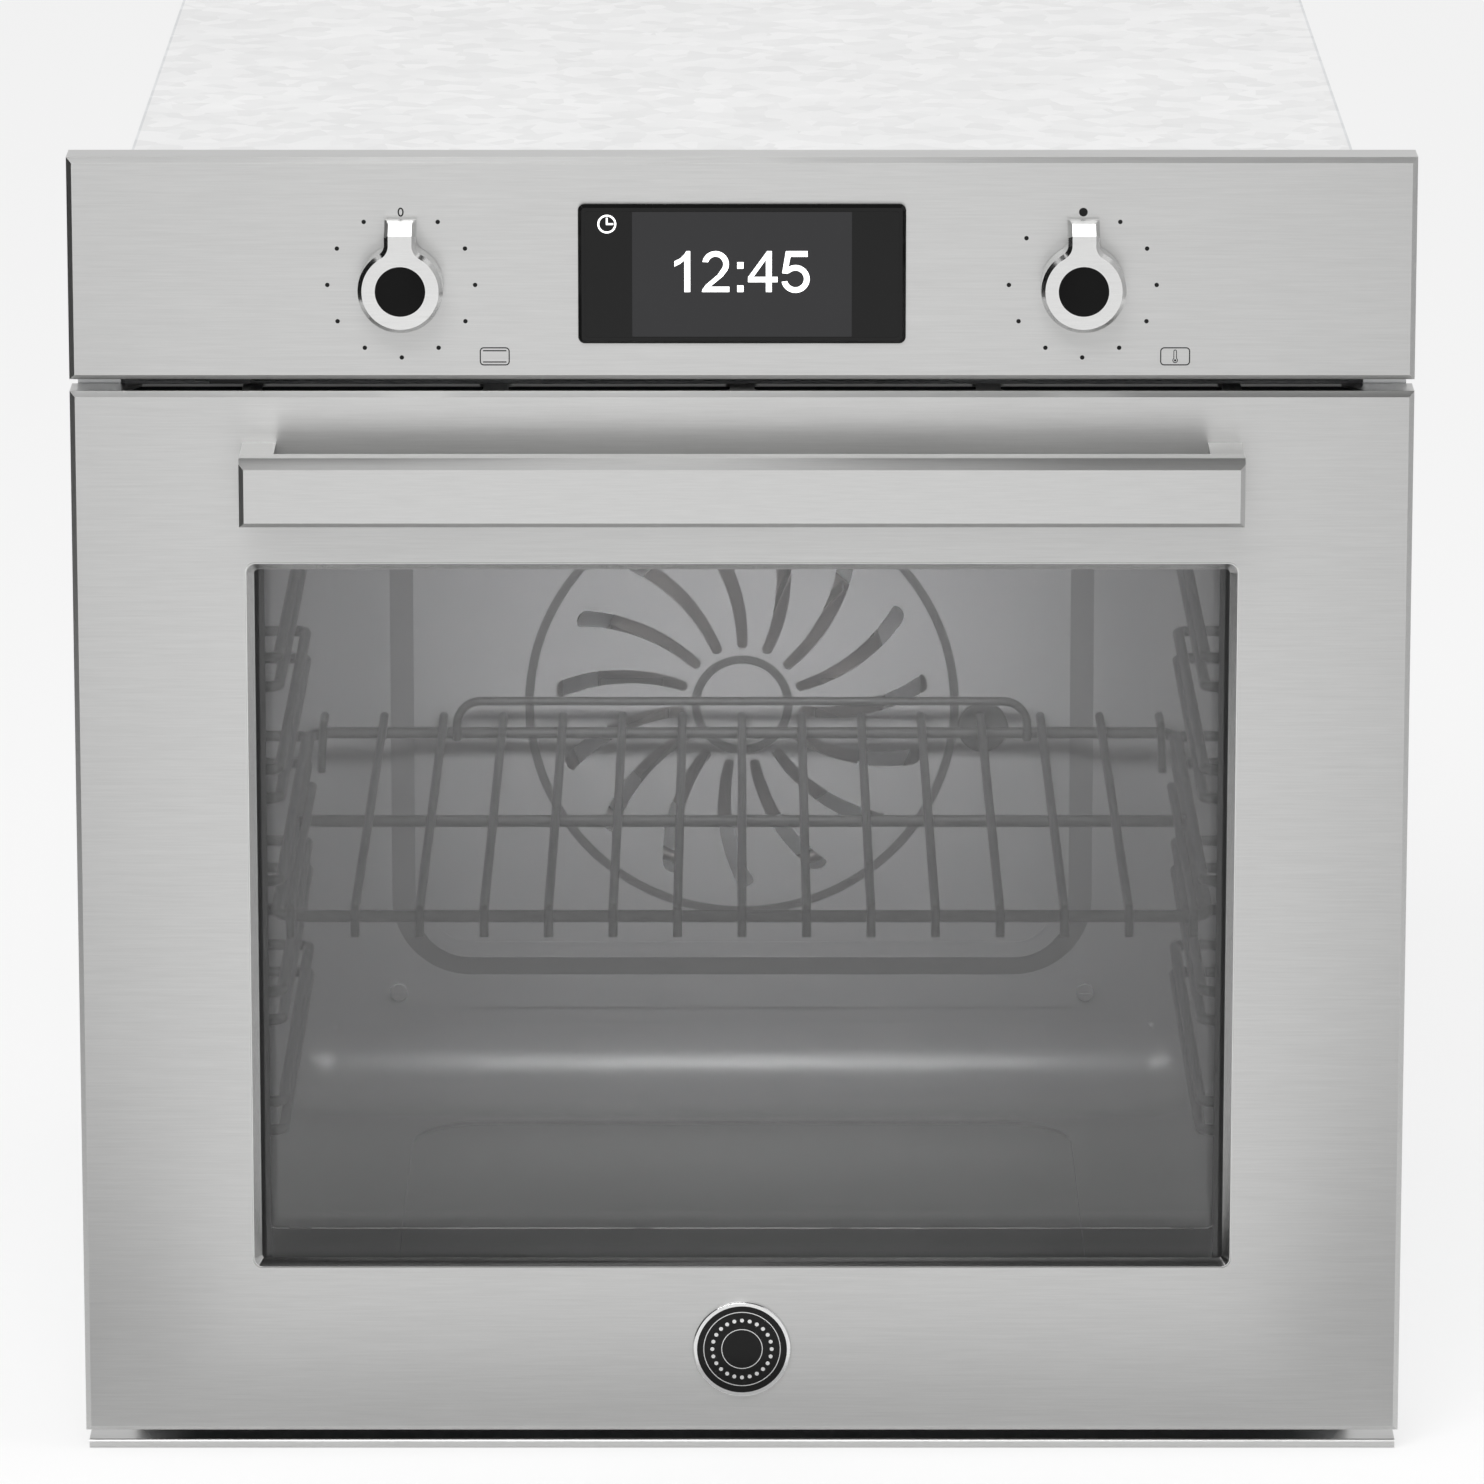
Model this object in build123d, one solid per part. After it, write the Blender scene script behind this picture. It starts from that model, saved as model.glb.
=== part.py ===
from build123d import *
import os
from math import atan2, cos, degrees, pi, radians, sin, sqrt

# A 60 cm built-in electric wall oven. Millimetres, +Z up, the front faces -Y.
# x = 0 is the middle, y = 0 the cabinet's front face, z = 0 the shelf it stands on.

# Front as a whole
FRONT_WIDTH = 597.0
FRONT_HEIGHT = 597.0
FRONT_PROUD = 22.0
SKIN = 1.2
EDGE_CHAMFER = 2.4
PANEL_HEIGHT = 100.0
PANEL_GAP = 5.3
DOOR_BOTTOM = 9.5
FIT = 0.3
RUNNING_FIT = 0.05
CUT = 1.0

# Carcass
BODY_SIDE_INSET = 20.5
BODY_TOP_DROP = 21.0
BODY_DEPTH = 546.0
SHEET = 1.2
WING_WIDTH = 18.0
WING_SHEET = 1.5
WING_START = 60.0
REAR_FOLD = 14.0
PANEL_LIP = 17.0
FRAME_Y = 22.0
FRAME_SHEET = 1.5
DECK_DROP = 4.9
TRIM_HEIGHT = 4.3
TRIM_SETBACK = 4.2
TRIM_END = 23.5
TRIM_SLANT = 6.0
CABINET_SCREW_R = 2.6
CABINET_SCREW_INSET = 9.0
CABINET_SCREW_LOW = 110.0
CABINET_SCREW_DROP = 116.0
REAR_SCREW_R = 2.0
REAR_SCREW_LOW = 60.0
REAR_SCREW_DROP = 56.0
VENT_COUNT = 12
VENT_PITCH = 16.0
VENT_WIDTH = 6.0
VENT_LENGTH = 90.0
TOP_VENT_LENGTH = 40.0
TOP_VENT_SETBACK = 40.0
REAR_VENT_LENGTH = 60.0

# Cavity
CAVITY_SIDE_SPACE = 38.0
CAVITY_FLOOR = 38.8
CEILING_SPACE = 46.8
REAR_SPACE = 102.0
CAVITY_RADIUS = 38.0
CAVITY_SHEET = 1.2
CAVITY_FLANGE = 9.0
RECESS_SIDE_SPACE = 78.0
RECESS_FRONT_SPACE = 40.0
RECESS_BACK_SPACE = 46.0
FLOOR_RECESS_DEPTH = 2.0
FLOOR_RECESS_RADIUS = 35.0
INSULATION = 24.0
GASKET_WIDTH = 7.0

# Fan cover and what is behind it
FAN_RISE = 3.6
COVER_SIDE_SPACE = 65.0
COVER_END_SPACE = 58.6
COVER_RADIUS = 40.0
COVER_RAISE = 13.0
COVER_SHEET = 1.0
COVER_FLANGE = 6.0
COVER_FLANGE_END = 16.0
COVER_SCREW_INSET = 4.0
COVER_SCREW_R = 2.0
COVER_SCREW_HEAD_R = 4.2
SCREW_CROSS = 5.46
COVER_LINE_INSET = 20.0
COVER_LINE_WIDTH = 1.0
RING_GROOVE_R = 105.0
RING_GROOVE_WIDTH = 4.4
HUB_GROOVE_R = 22.8
GROOVE_DEPTH = 0.5
SLOT_COUNT = 15
SLOT_R_IN = 30.0
SLOT_R_OUT = 90.0
SLOT_WIDTH_IN = 5.2
SLOT_WIDTH_OUT = 9.0
SLOT_SWEEP = 13.0
SLOT_LEAN = 1.6
CHAMBER_SIDE_STEP = 25.0
CHAMBER_END_STEP = 17.0
CHAMBER_RADIUS = 30.0
CHAMBER_DEPTH = 52.0
CHAMBER_FLANGE = 12.0
IMPELLER_R = 72.0
IMPELLER_BORE_R = 39.6
IMPELLER_COUNT = 16
IMPELLER_DEPTH = 26.0
IMPELLER_REAR_GAP = 8.0
FAN_SHAFT_R = 4.0
SHAFT_HOLE_CLEAR = 2.0
SHAFT_STOP = 6.0
SHAFT_END_CLEAR = 2.0
RING_ELEMENT_R = 92.0
RING_LEG_X = 12.8
RING_LEG_R = 2.88
ELEMENT_R = 3.2
MOTOR_SIZE = 62.0
MOTOR_EARS = 99.2
MOTOR_DEPTH = 34.0
SOCKET_INSET = 56.0
SOCKET_DROP = 11.0
SOCKET_R = 12.5
SOCKET_STEM_R = 7.5
SOCKET_STEM_STOP = 3.0
SOCKET_PROUD = 3.0
JACK_R = 2.5
JACK_DEPTH = 4.0

# Elements and lamp
GRILL_DROP = 19.0
GRILL_SIDE_SPACE = 75.0
GRILL_FRONT_SPACE = 68.0
GRILL_REAR_SPACE = 74.0
ELEMENT_LEG_X = 35.0
ELEMENT_BEND = 28.0
ELEMENT_TAIL = 20.0
BOTTOM_INSET = 12.0
LAMP_SIDE_SPACE = 90.0
LAMP_BACK_SPACE = 144.0
LAMP_R = 24.0
LAMP_HEIGHT = 34.0
LENS_DROP = 6.0
LENS_WALL = 2.0

# Wire racks
WIRE_R = 2.6
RAIL_INSET = 28.0
RAIL_FRONT_SPACE = 60.0
RAIL_REAR_SPACE = 76.0
POST_INSET = 5.0
POST_BEND = 3.38
LEVEL_COUNT = 5
LEVEL_DROP = 10.9
LEVEL_PITCH = 52.6
RAIL_PAIR = 13.6
POST_OVERRUN = 22.0
RAIL_BEND = 6.0
RACK_LEVEL_INDEX = 3
RACK_BAR_R = 2.85
RACK_WIRE_R = 2.1
RACK_WIRE_BEND = 4.62
RACK_FRONT_SPACE = 26.0
RACK_REAR_SPACE = 36.0
RACK_WIRE_COUNT = 15
RACK_END_SPACE = 6.7
RACK_LAP = 0.5
RACK_TIP_DROP = 12.0
RACK_TIP_REACH = 7.0
RACK_TAIL = 17.0
RACK_SHORT_WIRE = 51.0
RACK_STOP_BACK = 4.25
RACK_STOP_FRONT = 27.2
GUARD_HALF = 140.0
GUARD_RISE = 17.0
GUARD_BEND = 11.9
WELD = 0.6

# Door
DOOR_DEPTH = 19.5
DOOR_SEAL_GAP = 4.0
BOTTOM_FOLD = 8.0
WINDOW_SIDE = 77.0
WINDOW_BOTTOM = 86.8
WINDOW_DROP = 77.5
WINDOW_RADIUS = 4.5
BEVEL = 3.6
GLASS = 4.0
GLASS_LAP = 8.5
GLASS_SETBACK = 3.7
MIDDLE_GLASS_RISE = 13.2
MIDDLE_GLASS_Y = -4.0
INNER_GLASS_LAP = 16.0
INNER_GLASS_DROP = 1.0
PILLAR_SHOW = 5.7
PILLAR_INSET = 26.5
PILLAR_SHEET = 1.5
PILLAR_TOP_DROP = 7.7
RAIL_TOP_RISE = 21.8
RAIL_BOTTOM_RISE = 2.0
RAIL_BOTTOM_DROP = 12.8
DOOR_SLOT_COUNT = 4
DOOR_SLOT_LENGTH = 98.5
DOOR_SLOT_WEB = 11.0
DOOR_SLOT_FRONT = 4.0
DOOR_SLOT_RADIUS = 2.5
DOOR_END_INSET = 22.5
DOOR_END_SLANT = 9.0
DOOR_END_WEB = 8.5

# Handle and badge
HANDLE_OVERHANG = 0.5
HANDLE_DROP = 23.0
HANDLE_HEIGHT = 30.7
HANDLE_THICK = 13.5
HANDLE_STANDOFF = 24.5
HANDLE_TOP_BEVEL = 4.5
HANDLE_EDGE_BEVEL = 2.2
POST_WIDTH = 15.0
POST_DROP = 26.0
HANDLE_SCREW_R = 2.5
HANDLE_SCREW_HEAD_R = 5.0
HANDLE_SCREW_STOP = 7.0
BADGE_RISE = 0.85
BADGE_R = 22.4
BADGE_RIM = 2.0
BADGE_RIM_ROUND = 0.8
BADGE_PROUD = 2.4
BADGE_DISC_PROUD = 1.68

# Hinge
HINGE_INSET = 10.0
HINGE_Y = -5.0
HINGE_Z = 32.0
HINGE_PIN_R = 4.0
HINGE_PIN_HEAD_R = 5.6
HINGE_PIN_HEAD = 2.0
HINGE_PIN_END = 1.0
HINGE_EYE_R = 8.0
EYE_CLEAR = 1.5
ARM_SHEET = 5.0
ARM_HEIGHT = 12.0
CHEEK_SHEET = 2.5
CHEEK_CLEAR = 0.5
FOOT_HEIGHT = 24.0

# Control panel
KNOB_X = 150.8
CONTROL_RISE = 43.0
KNOB_R = 18.8
KNOB_DEPTH = 16.0
KNOB_GAP = 0.5
KNOB_CHAMFER = 1.8
KNOB_CAP_R = 11.1
KNOB_CAP_DEPTH = 4.0
KNOB_CAP_SINK = 0.4
KNOB_DISH_R = 55.5
TAB_WIDTH = 14.0
TAB_REACH = 30.0
TAB_NECK = 5.0
TAB_SLOPE_START = 24.8
TAB_SLOPE_DROP = 9.0
SHAFT_R = 3.0
SHAFT_PANEL_CLEAR = 1.0
SWITCH_SIZE = 36.0
SWITCH_DEPTH = 30.0
DISPLAY_WIDTH = 145.0
DISPLAY_HEIGHT = 62.7
DISPLAY_RISE = 48.3
DISPLAY_PROUD = 3.0
DISPLAY_RADIUS = 3.0
DISPLAY_RIM = 3.0
DISPLAY_DEPTH = 16.0
DISPLAY_GLASS = 2.0
BOARD = 1.6
BOARD_WIDTH = 380.0
BOARD_RISE = 23.3
BOARD_HEADROOM = 4.5
BOARD_CHIP_HEIGHT = 12.5
BOARD_CHIP_WIDTH = 38.0
BOARD_CHIP_DEPTH = 14.4
BOARD_CHIP_PLACES = (-114.0, -47.5, 19.0, 95.0)

# Cooling blower, lock and mains terminals
BLOWER_REAR_SPACE = 276.0
BLOWER_R = 84.0
BLOWER_HEIGHT = 42.0
BLOWER_OUTLET_HALF = 90.0
BLOWER_HEADROOM = 8.8
WHEEL_R = 62.0
WHEEL_BORE_R = 37.2
WHEEL_HEIGHT = 28.0
WHEEL_GAP = 6.0
WHEEL_INLET_LAP = 12.0
WHEEL_COUNT = 16
WHEEL_SHAFT_R = 3.0
WHEEL_SHAFT_CLEAR = 4.0
BLOWER_MOTOR_R = 32.0
BLOWER_EAR_HALF = 48.0
BLOWER_EAR_WIDTH = 16.0
LOCK_SIDE_SPACE = 50.0
LOCK_WIDTH = 34.0
LOCK_DEPTH = 50.0
LOCK_HEIGHT = 14.0
TONGUE_WIDTH = 18.0
TONGUE_HEIGHT = 3.4
TONGUE_REACH = 30.0
TONGUE_LENGTH = 66.0
TERMINAL_SIDE_SPACE = 88.0
TERMINAL_WIDTH = 60.0
TERMINAL_HEIGHT = 34.0
TERMINAL_DEPTH = 40.0
CABLE_HOLE_R = 8.0

# Front and carcass, worked out from the sizes above
HALF_FRONT = FRONT_WIDTH / 2
Y_FRONT = -FRONT_PROUD
SKIN_BACK = Y_FRONT + SKIN
PANEL_BACK = -WING_SHEET
PANEL_BOTTOM = FRONT_HEIGHT - PANEL_HEIGHT
DOOR_TOP = PANEL_BOTTOM - PANEL_GAP
BODY_HEIGHT = FRONT_HEIGHT - BODY_TOP_DROP
HALF_BODY = HALF_FRONT - BODY_SIDE_INSET
HALF_INSIDE = HALF_BODY - SHEET
REAR_INSIDE = BODY_DEPTH - SHEET
FRAME_BACK = FRAME_Y + FRAME_SHEET
DECK_HEIGHT = DOOR_TOP - DECK_DROP
DECK_TOP = DECK_HEIGHT + SHEET
TRIM_OPENING_HALF = HALF_FRONT - TRIM_END
CABINET_SCREW_HIGH = BODY_HEIGHT - CABINET_SCREW_DROP
REAR_SCREW_HIGH = BODY_HEIGHT - REAR_SCREW_DROP
REAR_SCREW_ROWS = (REAR_SCREW_LOW, (REAR_SCREW_LOW + REAR_SCREW_HIGH) / 2, REAR_SCREW_HIGH)

# Cavity and what is in it
HALF_CAVITY = HALF_BODY - CAVITY_SIDE_SPACE
CAVITY_WIDTH = 2 * HALF_CAVITY
CAVITY_CEILING = DECK_HEIGHT - CEILING_SPACE
CAVITY_MIDDLE = (CAVITY_FLOOR + CAVITY_CEILING) / 2
CAVITY_BACK = BODY_DEPTH - REAR_SPACE
LINER_BACK = CAVITY_BACK + CAVITY_SHEET
FLOOR_RECESS_WIDTH = CAVITY_WIDTH - 2 * RECESS_SIDE_SPACE
FLOOR_RECESS_FRONT = FRAME_Y + RECESS_FRONT_SPACE
FLOOR_RECESS_BACK = CAVITY_BACK - RECESS_BACK_SPACE
RECESS_BOTTOM = CAVITY_FLOOR - CAVITY_SHEET - FLOOR_RECESS_DEPTH
FAN_Z = CAVITY_MIDDLE + FAN_RISE
COVER_WIDTH = CAVITY_WIDTH - 2 * COVER_SIDE_SPACE
COVER_HEIGHT = CAVITY_CEILING - CAVITY_FLOOR - 2 * COVER_END_SPACE
COVER_FRONT = CAVITY_BACK - COVER_RAISE
COVER_SCREW_X = COVER_WIDTH / 2 - COVER_SCREW_INSET
COVER_SCREW_Z = (COVER_HEIGHT + COVER_FLANGE_END) / 2
CHAMBER_WIDTH = COVER_WIDTH - 2 * CHAMBER_SIDE_STEP
CHAMBER_HEIGHT = COVER_HEIGHT - 2 * CHAMBER_END_STEP
CHAMBER_BACK = LINER_BACK + CHAMBER_DEPTH
IMPELLER_BACK = CHAMBER_BACK - SHEET - IMPELLER_REAR_GAP
SOCKET_X = COVER_WIDTH / 2 - SOCKET_INSET
SOCKET_Z = FAN_Z - SOCKET_DROP
GRILL_HALF = HALF_CAVITY - GRILL_SIDE_SPACE
GRILL_FRONT = FRAME_Y + GRILL_FRONT_SPACE
GRILL_REAR = CAVITY_BACK - GRILL_REAR_SPACE
BOTTOM_HALF = FLOOR_RECESS_WIDTH / 2 - BOTTOM_INSET
LAMP_X = LAMP_SIDE_SPACE - HALF_CAVITY
LAMP_Y = CAVITY_BACK - LAMP_BACK_SPACE
RAIL_X = HALF_CAVITY - RAIL_INSET
RAIL_FRONT = FRAME_Y + RAIL_FRONT_SPACE
RAIL_REAR = CAVITY_BACK - RAIL_REAR_SPACE
POST_X = HALF_CAVITY - POST_INSET
LEVEL_MIDDLE = CAVITY_MIDDLE - LEVEL_DROP
MIDDLE_LEVEL_INDEX = (LEVEL_COUNT + 1) / 2
RACK_FRONT = FRAME_Y + RACK_FRONT_SPACE
RACK_REAR = CAVITY_BACK - RACK_REAR_SPACE
RACK_SIDE_X = RAIL_X + RACK_LAP
RACK_SIDE_COUNT = RACK_WIRE_COUNT // 2
RACK_PITCH = (RACK_SIDE_X - RACK_END_SPACE) / RACK_SIDE_COUNT
RACK_RAIL_Z = LEVEL_MIDDLE + (RACK_LEVEL_INDEX - MIDDLE_LEVEL_INDEX) * LEVEL_PITCH
RACK_Z = RACK_RAIL_Z + WIRE_R + FIT + RACK_BAR_R
RACK_WIRE_Z = RACK_Z + RACK_BAR_R + RACK_WIRE_R - WELD

# Door
DOOR_REAR = FRAME_Y - DOOR_SEAL_GAP
WINDOW_WIDTH = FRONT_WIDTH - 2 * WINDOW_SIDE
WINDOW_TOP = DOOR_TOP - WINDOW_DROP
WINDOW_MIDDLE = (WINDOW_BOTTOM + WINDOW_TOP) / 2
WINDOW_HEIGHT = WINDOW_TOP - WINDOW_BOTTOM
OUTER_GLASS_Y = Y_FRONT + GLASS_SETBACK
OUTER_GLASS_BACK = OUTER_GLASS_Y + GLASS
MIDDLE_GLASS_BOTTOM = WINDOW_BOTTOM + MIDDLE_GLASS_RISE
INNER_GLASS_HALF = HALF_CAVITY + INNER_GLASS_LAP
INNER_GLASS_Y = DOOR_REAR - GLASS
PILLAR_INNER_X = WINDOW_WIDTH / 2 - PILLAR_SHOW
PILLAR_OUTER_X = HALF_FRONT - PILLAR_INSET
PILLAR_BOTTOM = HINGE_Z + HINGE_EYE_R + EYE_CLEAR + CHEEK_SHEET
PILLAR_TOP = DOOR_TOP - PILLAR_TOP_DROP
RAIL_BOTTOM_LOW = PILLAR_BOTTOM + RAIL_BOTTOM_RISE
RAIL_BOTTOM_HIGH = WINDOW_BOTTOM - RAIL_BOTTOM_DROP
RAIL_TOP_LOW = WINDOW_TOP + RAIL_TOP_RISE
DOOR_SLOT_ROW = DOOR_SLOT_COUNT * (DOOR_SLOT_LENGTH + DOOR_SLOT_WEB) - DOOR_SLOT_WEB
DOOR_END_START = DOOR_SLOT_ROW / 2 + DOOR_END_WEB
DOOR_END_OPENING = HALF_FRONT - DOOR_END_INSET
HINGE_X = PILLAR_OUTER_X - HINGE_INSET
HANDLE_LENGTH = WINDOW_WIDTH + 2 * HANDLE_OVERHANG
HANDLE_TOP = DOOR_TOP - HANDLE_DROP
HANDLE_BACK = Y_FRONT - HANDLE_STANDOFF
POST_CENTRE_X = (HANDLE_LENGTH - POST_WIDTH) / 2
HANDLE_SCREW_Z = HANDLE_TOP - POST_DROP / 2
BADGE_Z = (DOOR_BOTTOM + WINDOW_BOTTOM) / 2 + BADGE_RISE

# Controls, blower and terminals
CONTROL_Z = PANEL_BOTTOM + CONTROL_RISE
DISPLAY_Z = PANEL_BOTTOM + DISPLAY_RISE
KNOB_BACK = Y_FRONT - KNOB_GAP
KNOB_FACE = KNOB_BACK - KNOB_DEPTH
DISPLAY_FRONT = Y_FRONT - DISPLAY_PROUD
DISPLAY_INNER_WIDTH = DISPLAY_WIDTH - 2 * DISPLAY_RIM
DISPLAY_INNER_HEIGHT = DISPLAY_HEIGHT - 2 * DISPLAY_RIM
BLOWER_Y = BODY_DEPTH - BLOWER_REAR_SPACE
BLOWER_TOP = DECK_TOP + BLOWER_HEIGHT
BLOWER_MOTOR_HEIGHT = BODY_HEIGHT - SHEET - BLOWER_HEADROOM - BLOWER_TOP
LOCK_X = LOCK_SIDE_SPACE - HALF_BODY
TONGUE_LOW = DOOR_TOP + (PANEL_GAP - TONGUE_HEIGHT) / 2
TERMINAL_X = HALF_BODY - TERMINAL_SIDE_SPACE
CABLE_Z = DECK_TOP + TERMINAL_HEIGHT / 2


def block(x0, x1, y0, y1, z0, z1):
    """Box between two corners."""
    middle = Pos((x0 + x1) / 2, (y0 + y1) / 2, (z0 + z1) / 2)
    return middle * Box(x1 - x0, y1 - y0, z1 - z0)


def bar(start, end, radius):
    """Round bar between two points."""
    axis = Vector(*end) - Vector(*start)
    return Solid.make_cylinder(radius, axis.length, Plane(origin=start, z_dir=axis))


def bent_wire(points, bend, radius):
    """Round wire along a line with rounded bends."""
    path = FilletPolyline(*points, radius=bend)
    return sweep(Plane(origin=path @ 0, z_dir=path % 0) * Circle(radius), path=path)


def upright(y, x=0.0, z=0.0):
    """Plane facing the viewer at depth y, with its X to the right and its Y up."""
    return Plane(origin=(x, y, z), x_dir=(1, 0, 0), z_dir=(0, -1, 0))


def rounded_slab(width, height, radius, y0, y1, z, x=0.0):
    """Upright plate with rounded corners between the depths y0 and y1."""
    return extrude(upright(y1, x, z) * RectangleRounded(width, height, radius), amount=y1 - y0)


def both_sides(shape):
    """A piece and its mirror image, as separate solids."""
    return [shape, mirror(shape, about=Plane.YZ)]


def group(shapes):
    """Separate solids in one node."""
    return Compound([solid for shape in shapes for solid in shape.solids()])


def chamfered_block(half, z0, z1, y0, y1, size):
    """Block whose front face has chamfered edges."""
    body = block(-half, half, y0, y1, z0, z1)
    return chamfer(body.faces().sort_by(Axis.Y)[0].edges(), size)


def folded_tray(z0, z1, y1):
    """Front sheet with chamfered edges and its sides folded back to y1."""
    inner_chamfer = EDGE_CHAMFER - SKIN * (2 - sqrt(2))
    outer = chamfered_block(HALF_FRONT, z0, z1, Y_FRONT, y1, EDGE_CHAMFER)
    half = HALF_FRONT - SKIN
    return outer - chamfered_block(half, z0 + SKIN, z1 - SKIN, SKIN_BACK, y1 + SKIN, inner_chamfer)


def cavity_solid(grow):
    """Space of the cavity with all its inner edges rounded, larger all round by grow."""
    half = HALF_CAVITY + grow
    low = CAVITY_FLOOR - grow
    high = CAVITY_CEILING + grow
    body = block(-half, half, FRAME_Y - CAVITY_RADIUS, CAVITY_BACK + grow, low, high)
    edges = body.edges().filter_by(Axis.Y) + body.faces().sort_by(Axis.Y)[-1].edges()
    rounded = fillet(edges, CAVITY_RADIUS + grow)
    return rounded & block(-half, half, FRAME_Y, CAVITY_BACK + grow, low, high)


def mouth_slab(grow, y0, y1):
    """Plate of the cavity mouth's outline, larger all round by grow."""
    width = CAVITY_WIDTH + 2 * grow
    height = CAVITY_CEILING - CAVITY_FLOOR + 2 * grow
    middle = (CAVITY_CEILING + CAVITY_FLOOR) / 2
    return rounded_slab(width, height, CAVITY_RADIUS + grow, y0, y1, middle)


# Carcass

def vent_row(length, count=1):
    """Cutter for rows of vent slots, flat on the XY plane."""
    slot = extrude(SlotOverall(length, VENT_WIDTH, rotation=90), amount=3 * SHEET, both=True)
    pitch = VENT_PITCH * count
    return [spot * slot for spot in GridLocations(pitch, length + 2 * VENT_PITCH, VENT_COUNT, count)]


def base_plate():
    front = Y_FRONT + TRIM_SETBACK + SKIN
    plate = block(-HALF_INSIDE, HALF_INSIDE, front, REAR_INSIDE, 0, SHEET)
    middle = Pos(0, (FRAME_Y + REAR_INSIDE) / 2, 0)
    return plate - [middle * slot for slot in vent_row(VENT_LENGTH, 2)]


def side_panel():
    """Right-hand side sheet with the mounting wing in front and a fold at the rear."""
    wall = block(HALF_INSIDE, HALF_BODY, PANEL_BACK, REAR_INSIDE, 0, BODY_HEIGHT)
    wall -= block(HALF_INSIDE - CUT, HALF_BODY + CUT, PANEL_BACK - CUT, FRAME_Y, -CUT, WING_START)
    wing = block(HALF_INSIDE, HALF_BODY + WING_WIDTH, PANEL_BACK, 0, WING_START, BODY_HEIGHT)
    for z in (CABINET_SCREW_LOW, CABINET_SCREW_HIGH):
        x = HALF_BODY + CABINET_SCREW_INSET
        wing -= bar((x, PANEL_BACK - CUT, z), (x, CUT, z), CABINET_SCREW_R)
    fold_front = REAR_INSIDE - SHEET
    low, high = 2 * SHEET, BODY_HEIGHT - 2 * SHEET
    fold = block(HALF_INSIDE - REAR_FOLD, HALF_INSIDE, fold_front, REAR_INSIDE, low, high)
    for z in REAR_SCREW_ROWS:
        x = HALF_INSIDE - REAR_FOLD / 2
        fold -= bar((x, fold_front - CUT, z), (x, REAR_INSIDE + CUT, z), REAR_SCREW_R + RUNNING_FIT)
    return wall + wing + fold


def top_cover():
    plate = block(-HALF_INSIDE, HALF_INSIDE, 0, REAR_INSIDE, BODY_HEIGHT - SHEET, BODY_HEIGHT)
    return plate - [Pos(0, TOP_VENT_SETBACK, BODY_HEIGHT) * slot for slot in vent_row(TOP_VENT_LENGTH)]


def rear_cover():
    plate = block(-HALF_INSIDE, HALF_INSIDE, REAR_INSIDE, BODY_DEPTH, 0, BODY_HEIGHT)
    for place, length in ((FAN_Z, VENT_LENGTH), ((DECK_TOP + BODY_HEIGHT) / 2, REAR_VENT_LENGTH)):
        plate -= [upright(BODY_DEPTH, 0, place) * slot for slot in vent_row(length)]
    for side in (-1, 1):
        x = side * (HALF_INSIDE - REAR_FOLD / 2)
        for z in REAR_SCREW_ROWS:
            plate -= bar((x, REAR_INSIDE - CUT, z), (x, BODY_DEPTH + CUT, z), REAR_SCREW_R + RUNNING_FIT)
    x, y0, y1 = TERMINAL_X, REAR_INSIDE - CUT, BODY_DEPTH + CUT
    return plate - bar((x, y0, CABLE_Z), (x, y1, CABLE_Z), CABLE_HOLE_R)


def rear_cover_screws():
    screws = []
    for side in (-1, 1):
        x = side * (HALF_INSIDE - REAR_FOLD / 2)
        for z in REAR_SCREW_ROWS:
            shank = bar((x, REAR_INSIDE - 6 * SHEET, z), (x, BODY_DEPTH, z), REAR_SCREW_R)
            head = bar((x, BODY_DEPTH, z), (x, BODY_DEPTH + REAR_SCREW_R, z), 2 * REAR_SCREW_R)
            screws.append(shank + head)
    return group(screws)


def front_frame():
    plate = block(-HALF_INSIDE, HALF_INSIDE, FRAME_Y, FRAME_BACK, SHEET, DECK_HEIGHT)
    return plate - mouth_slab(CAVITY_SHEET + RUNNING_FIT, FRAME_Y - CUT, FRAME_BACK + CUT)


def upper_deck():
    """Shelf over the insulation that carries the blower, the lock and the terminals."""
    plate = block(-HALF_INSIDE, HALF_INSIDE, FRAME_Y, REAR_INSIDE - SHEET, DECK_HEIGHT, DECK_TOP)
    inlet_r = WHEEL_R - WHEEL_INLET_LAP
    return plate - bar((0, BLOWER_Y, DECK_HEIGHT - CUT), (0, BLOWER_Y, DECK_TOP + CUT), inlet_r)


def bottom_trim():
    """Low sill under the door, with a long air opening whose ends are slanted."""
    y0 = Y_FRONT + TRIM_SETBACK
    half = HALF_FRONT - SKIN
    sill = block(-half, half, y0, FRAME_Y, 0, TRIM_HEIGHT)
    sill = fillet(sill.faces().sort_by(Axis.Y)[0].edges().filter_by(Axis.X), TRIM_HEIGHT / 3)
    sill -= block(-half + SKIN, half - SKIN, y0 + SKIN, FRAME_Y + CUT, -CUT, TRIM_HEIGHT - SKIN)
    front, back = y0 + 2 * SKIN, FRAME_Y - 2 * SKIN
    corners = [
        (-TRIM_OPENING_HALF + TRIM_SLANT, front),
        (TRIM_OPENING_HALF - TRIM_SLANT, front),
        (TRIM_OPENING_HALF + TRIM_SLANT, back),
        (-TRIM_OPENING_HALF - TRIM_SLANT, back),
    ]
    return sill - extrude(make_face(Polyline(*corners, close=True)), amount=2 * TRIM_HEIGHT)


# Cavity

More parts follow.
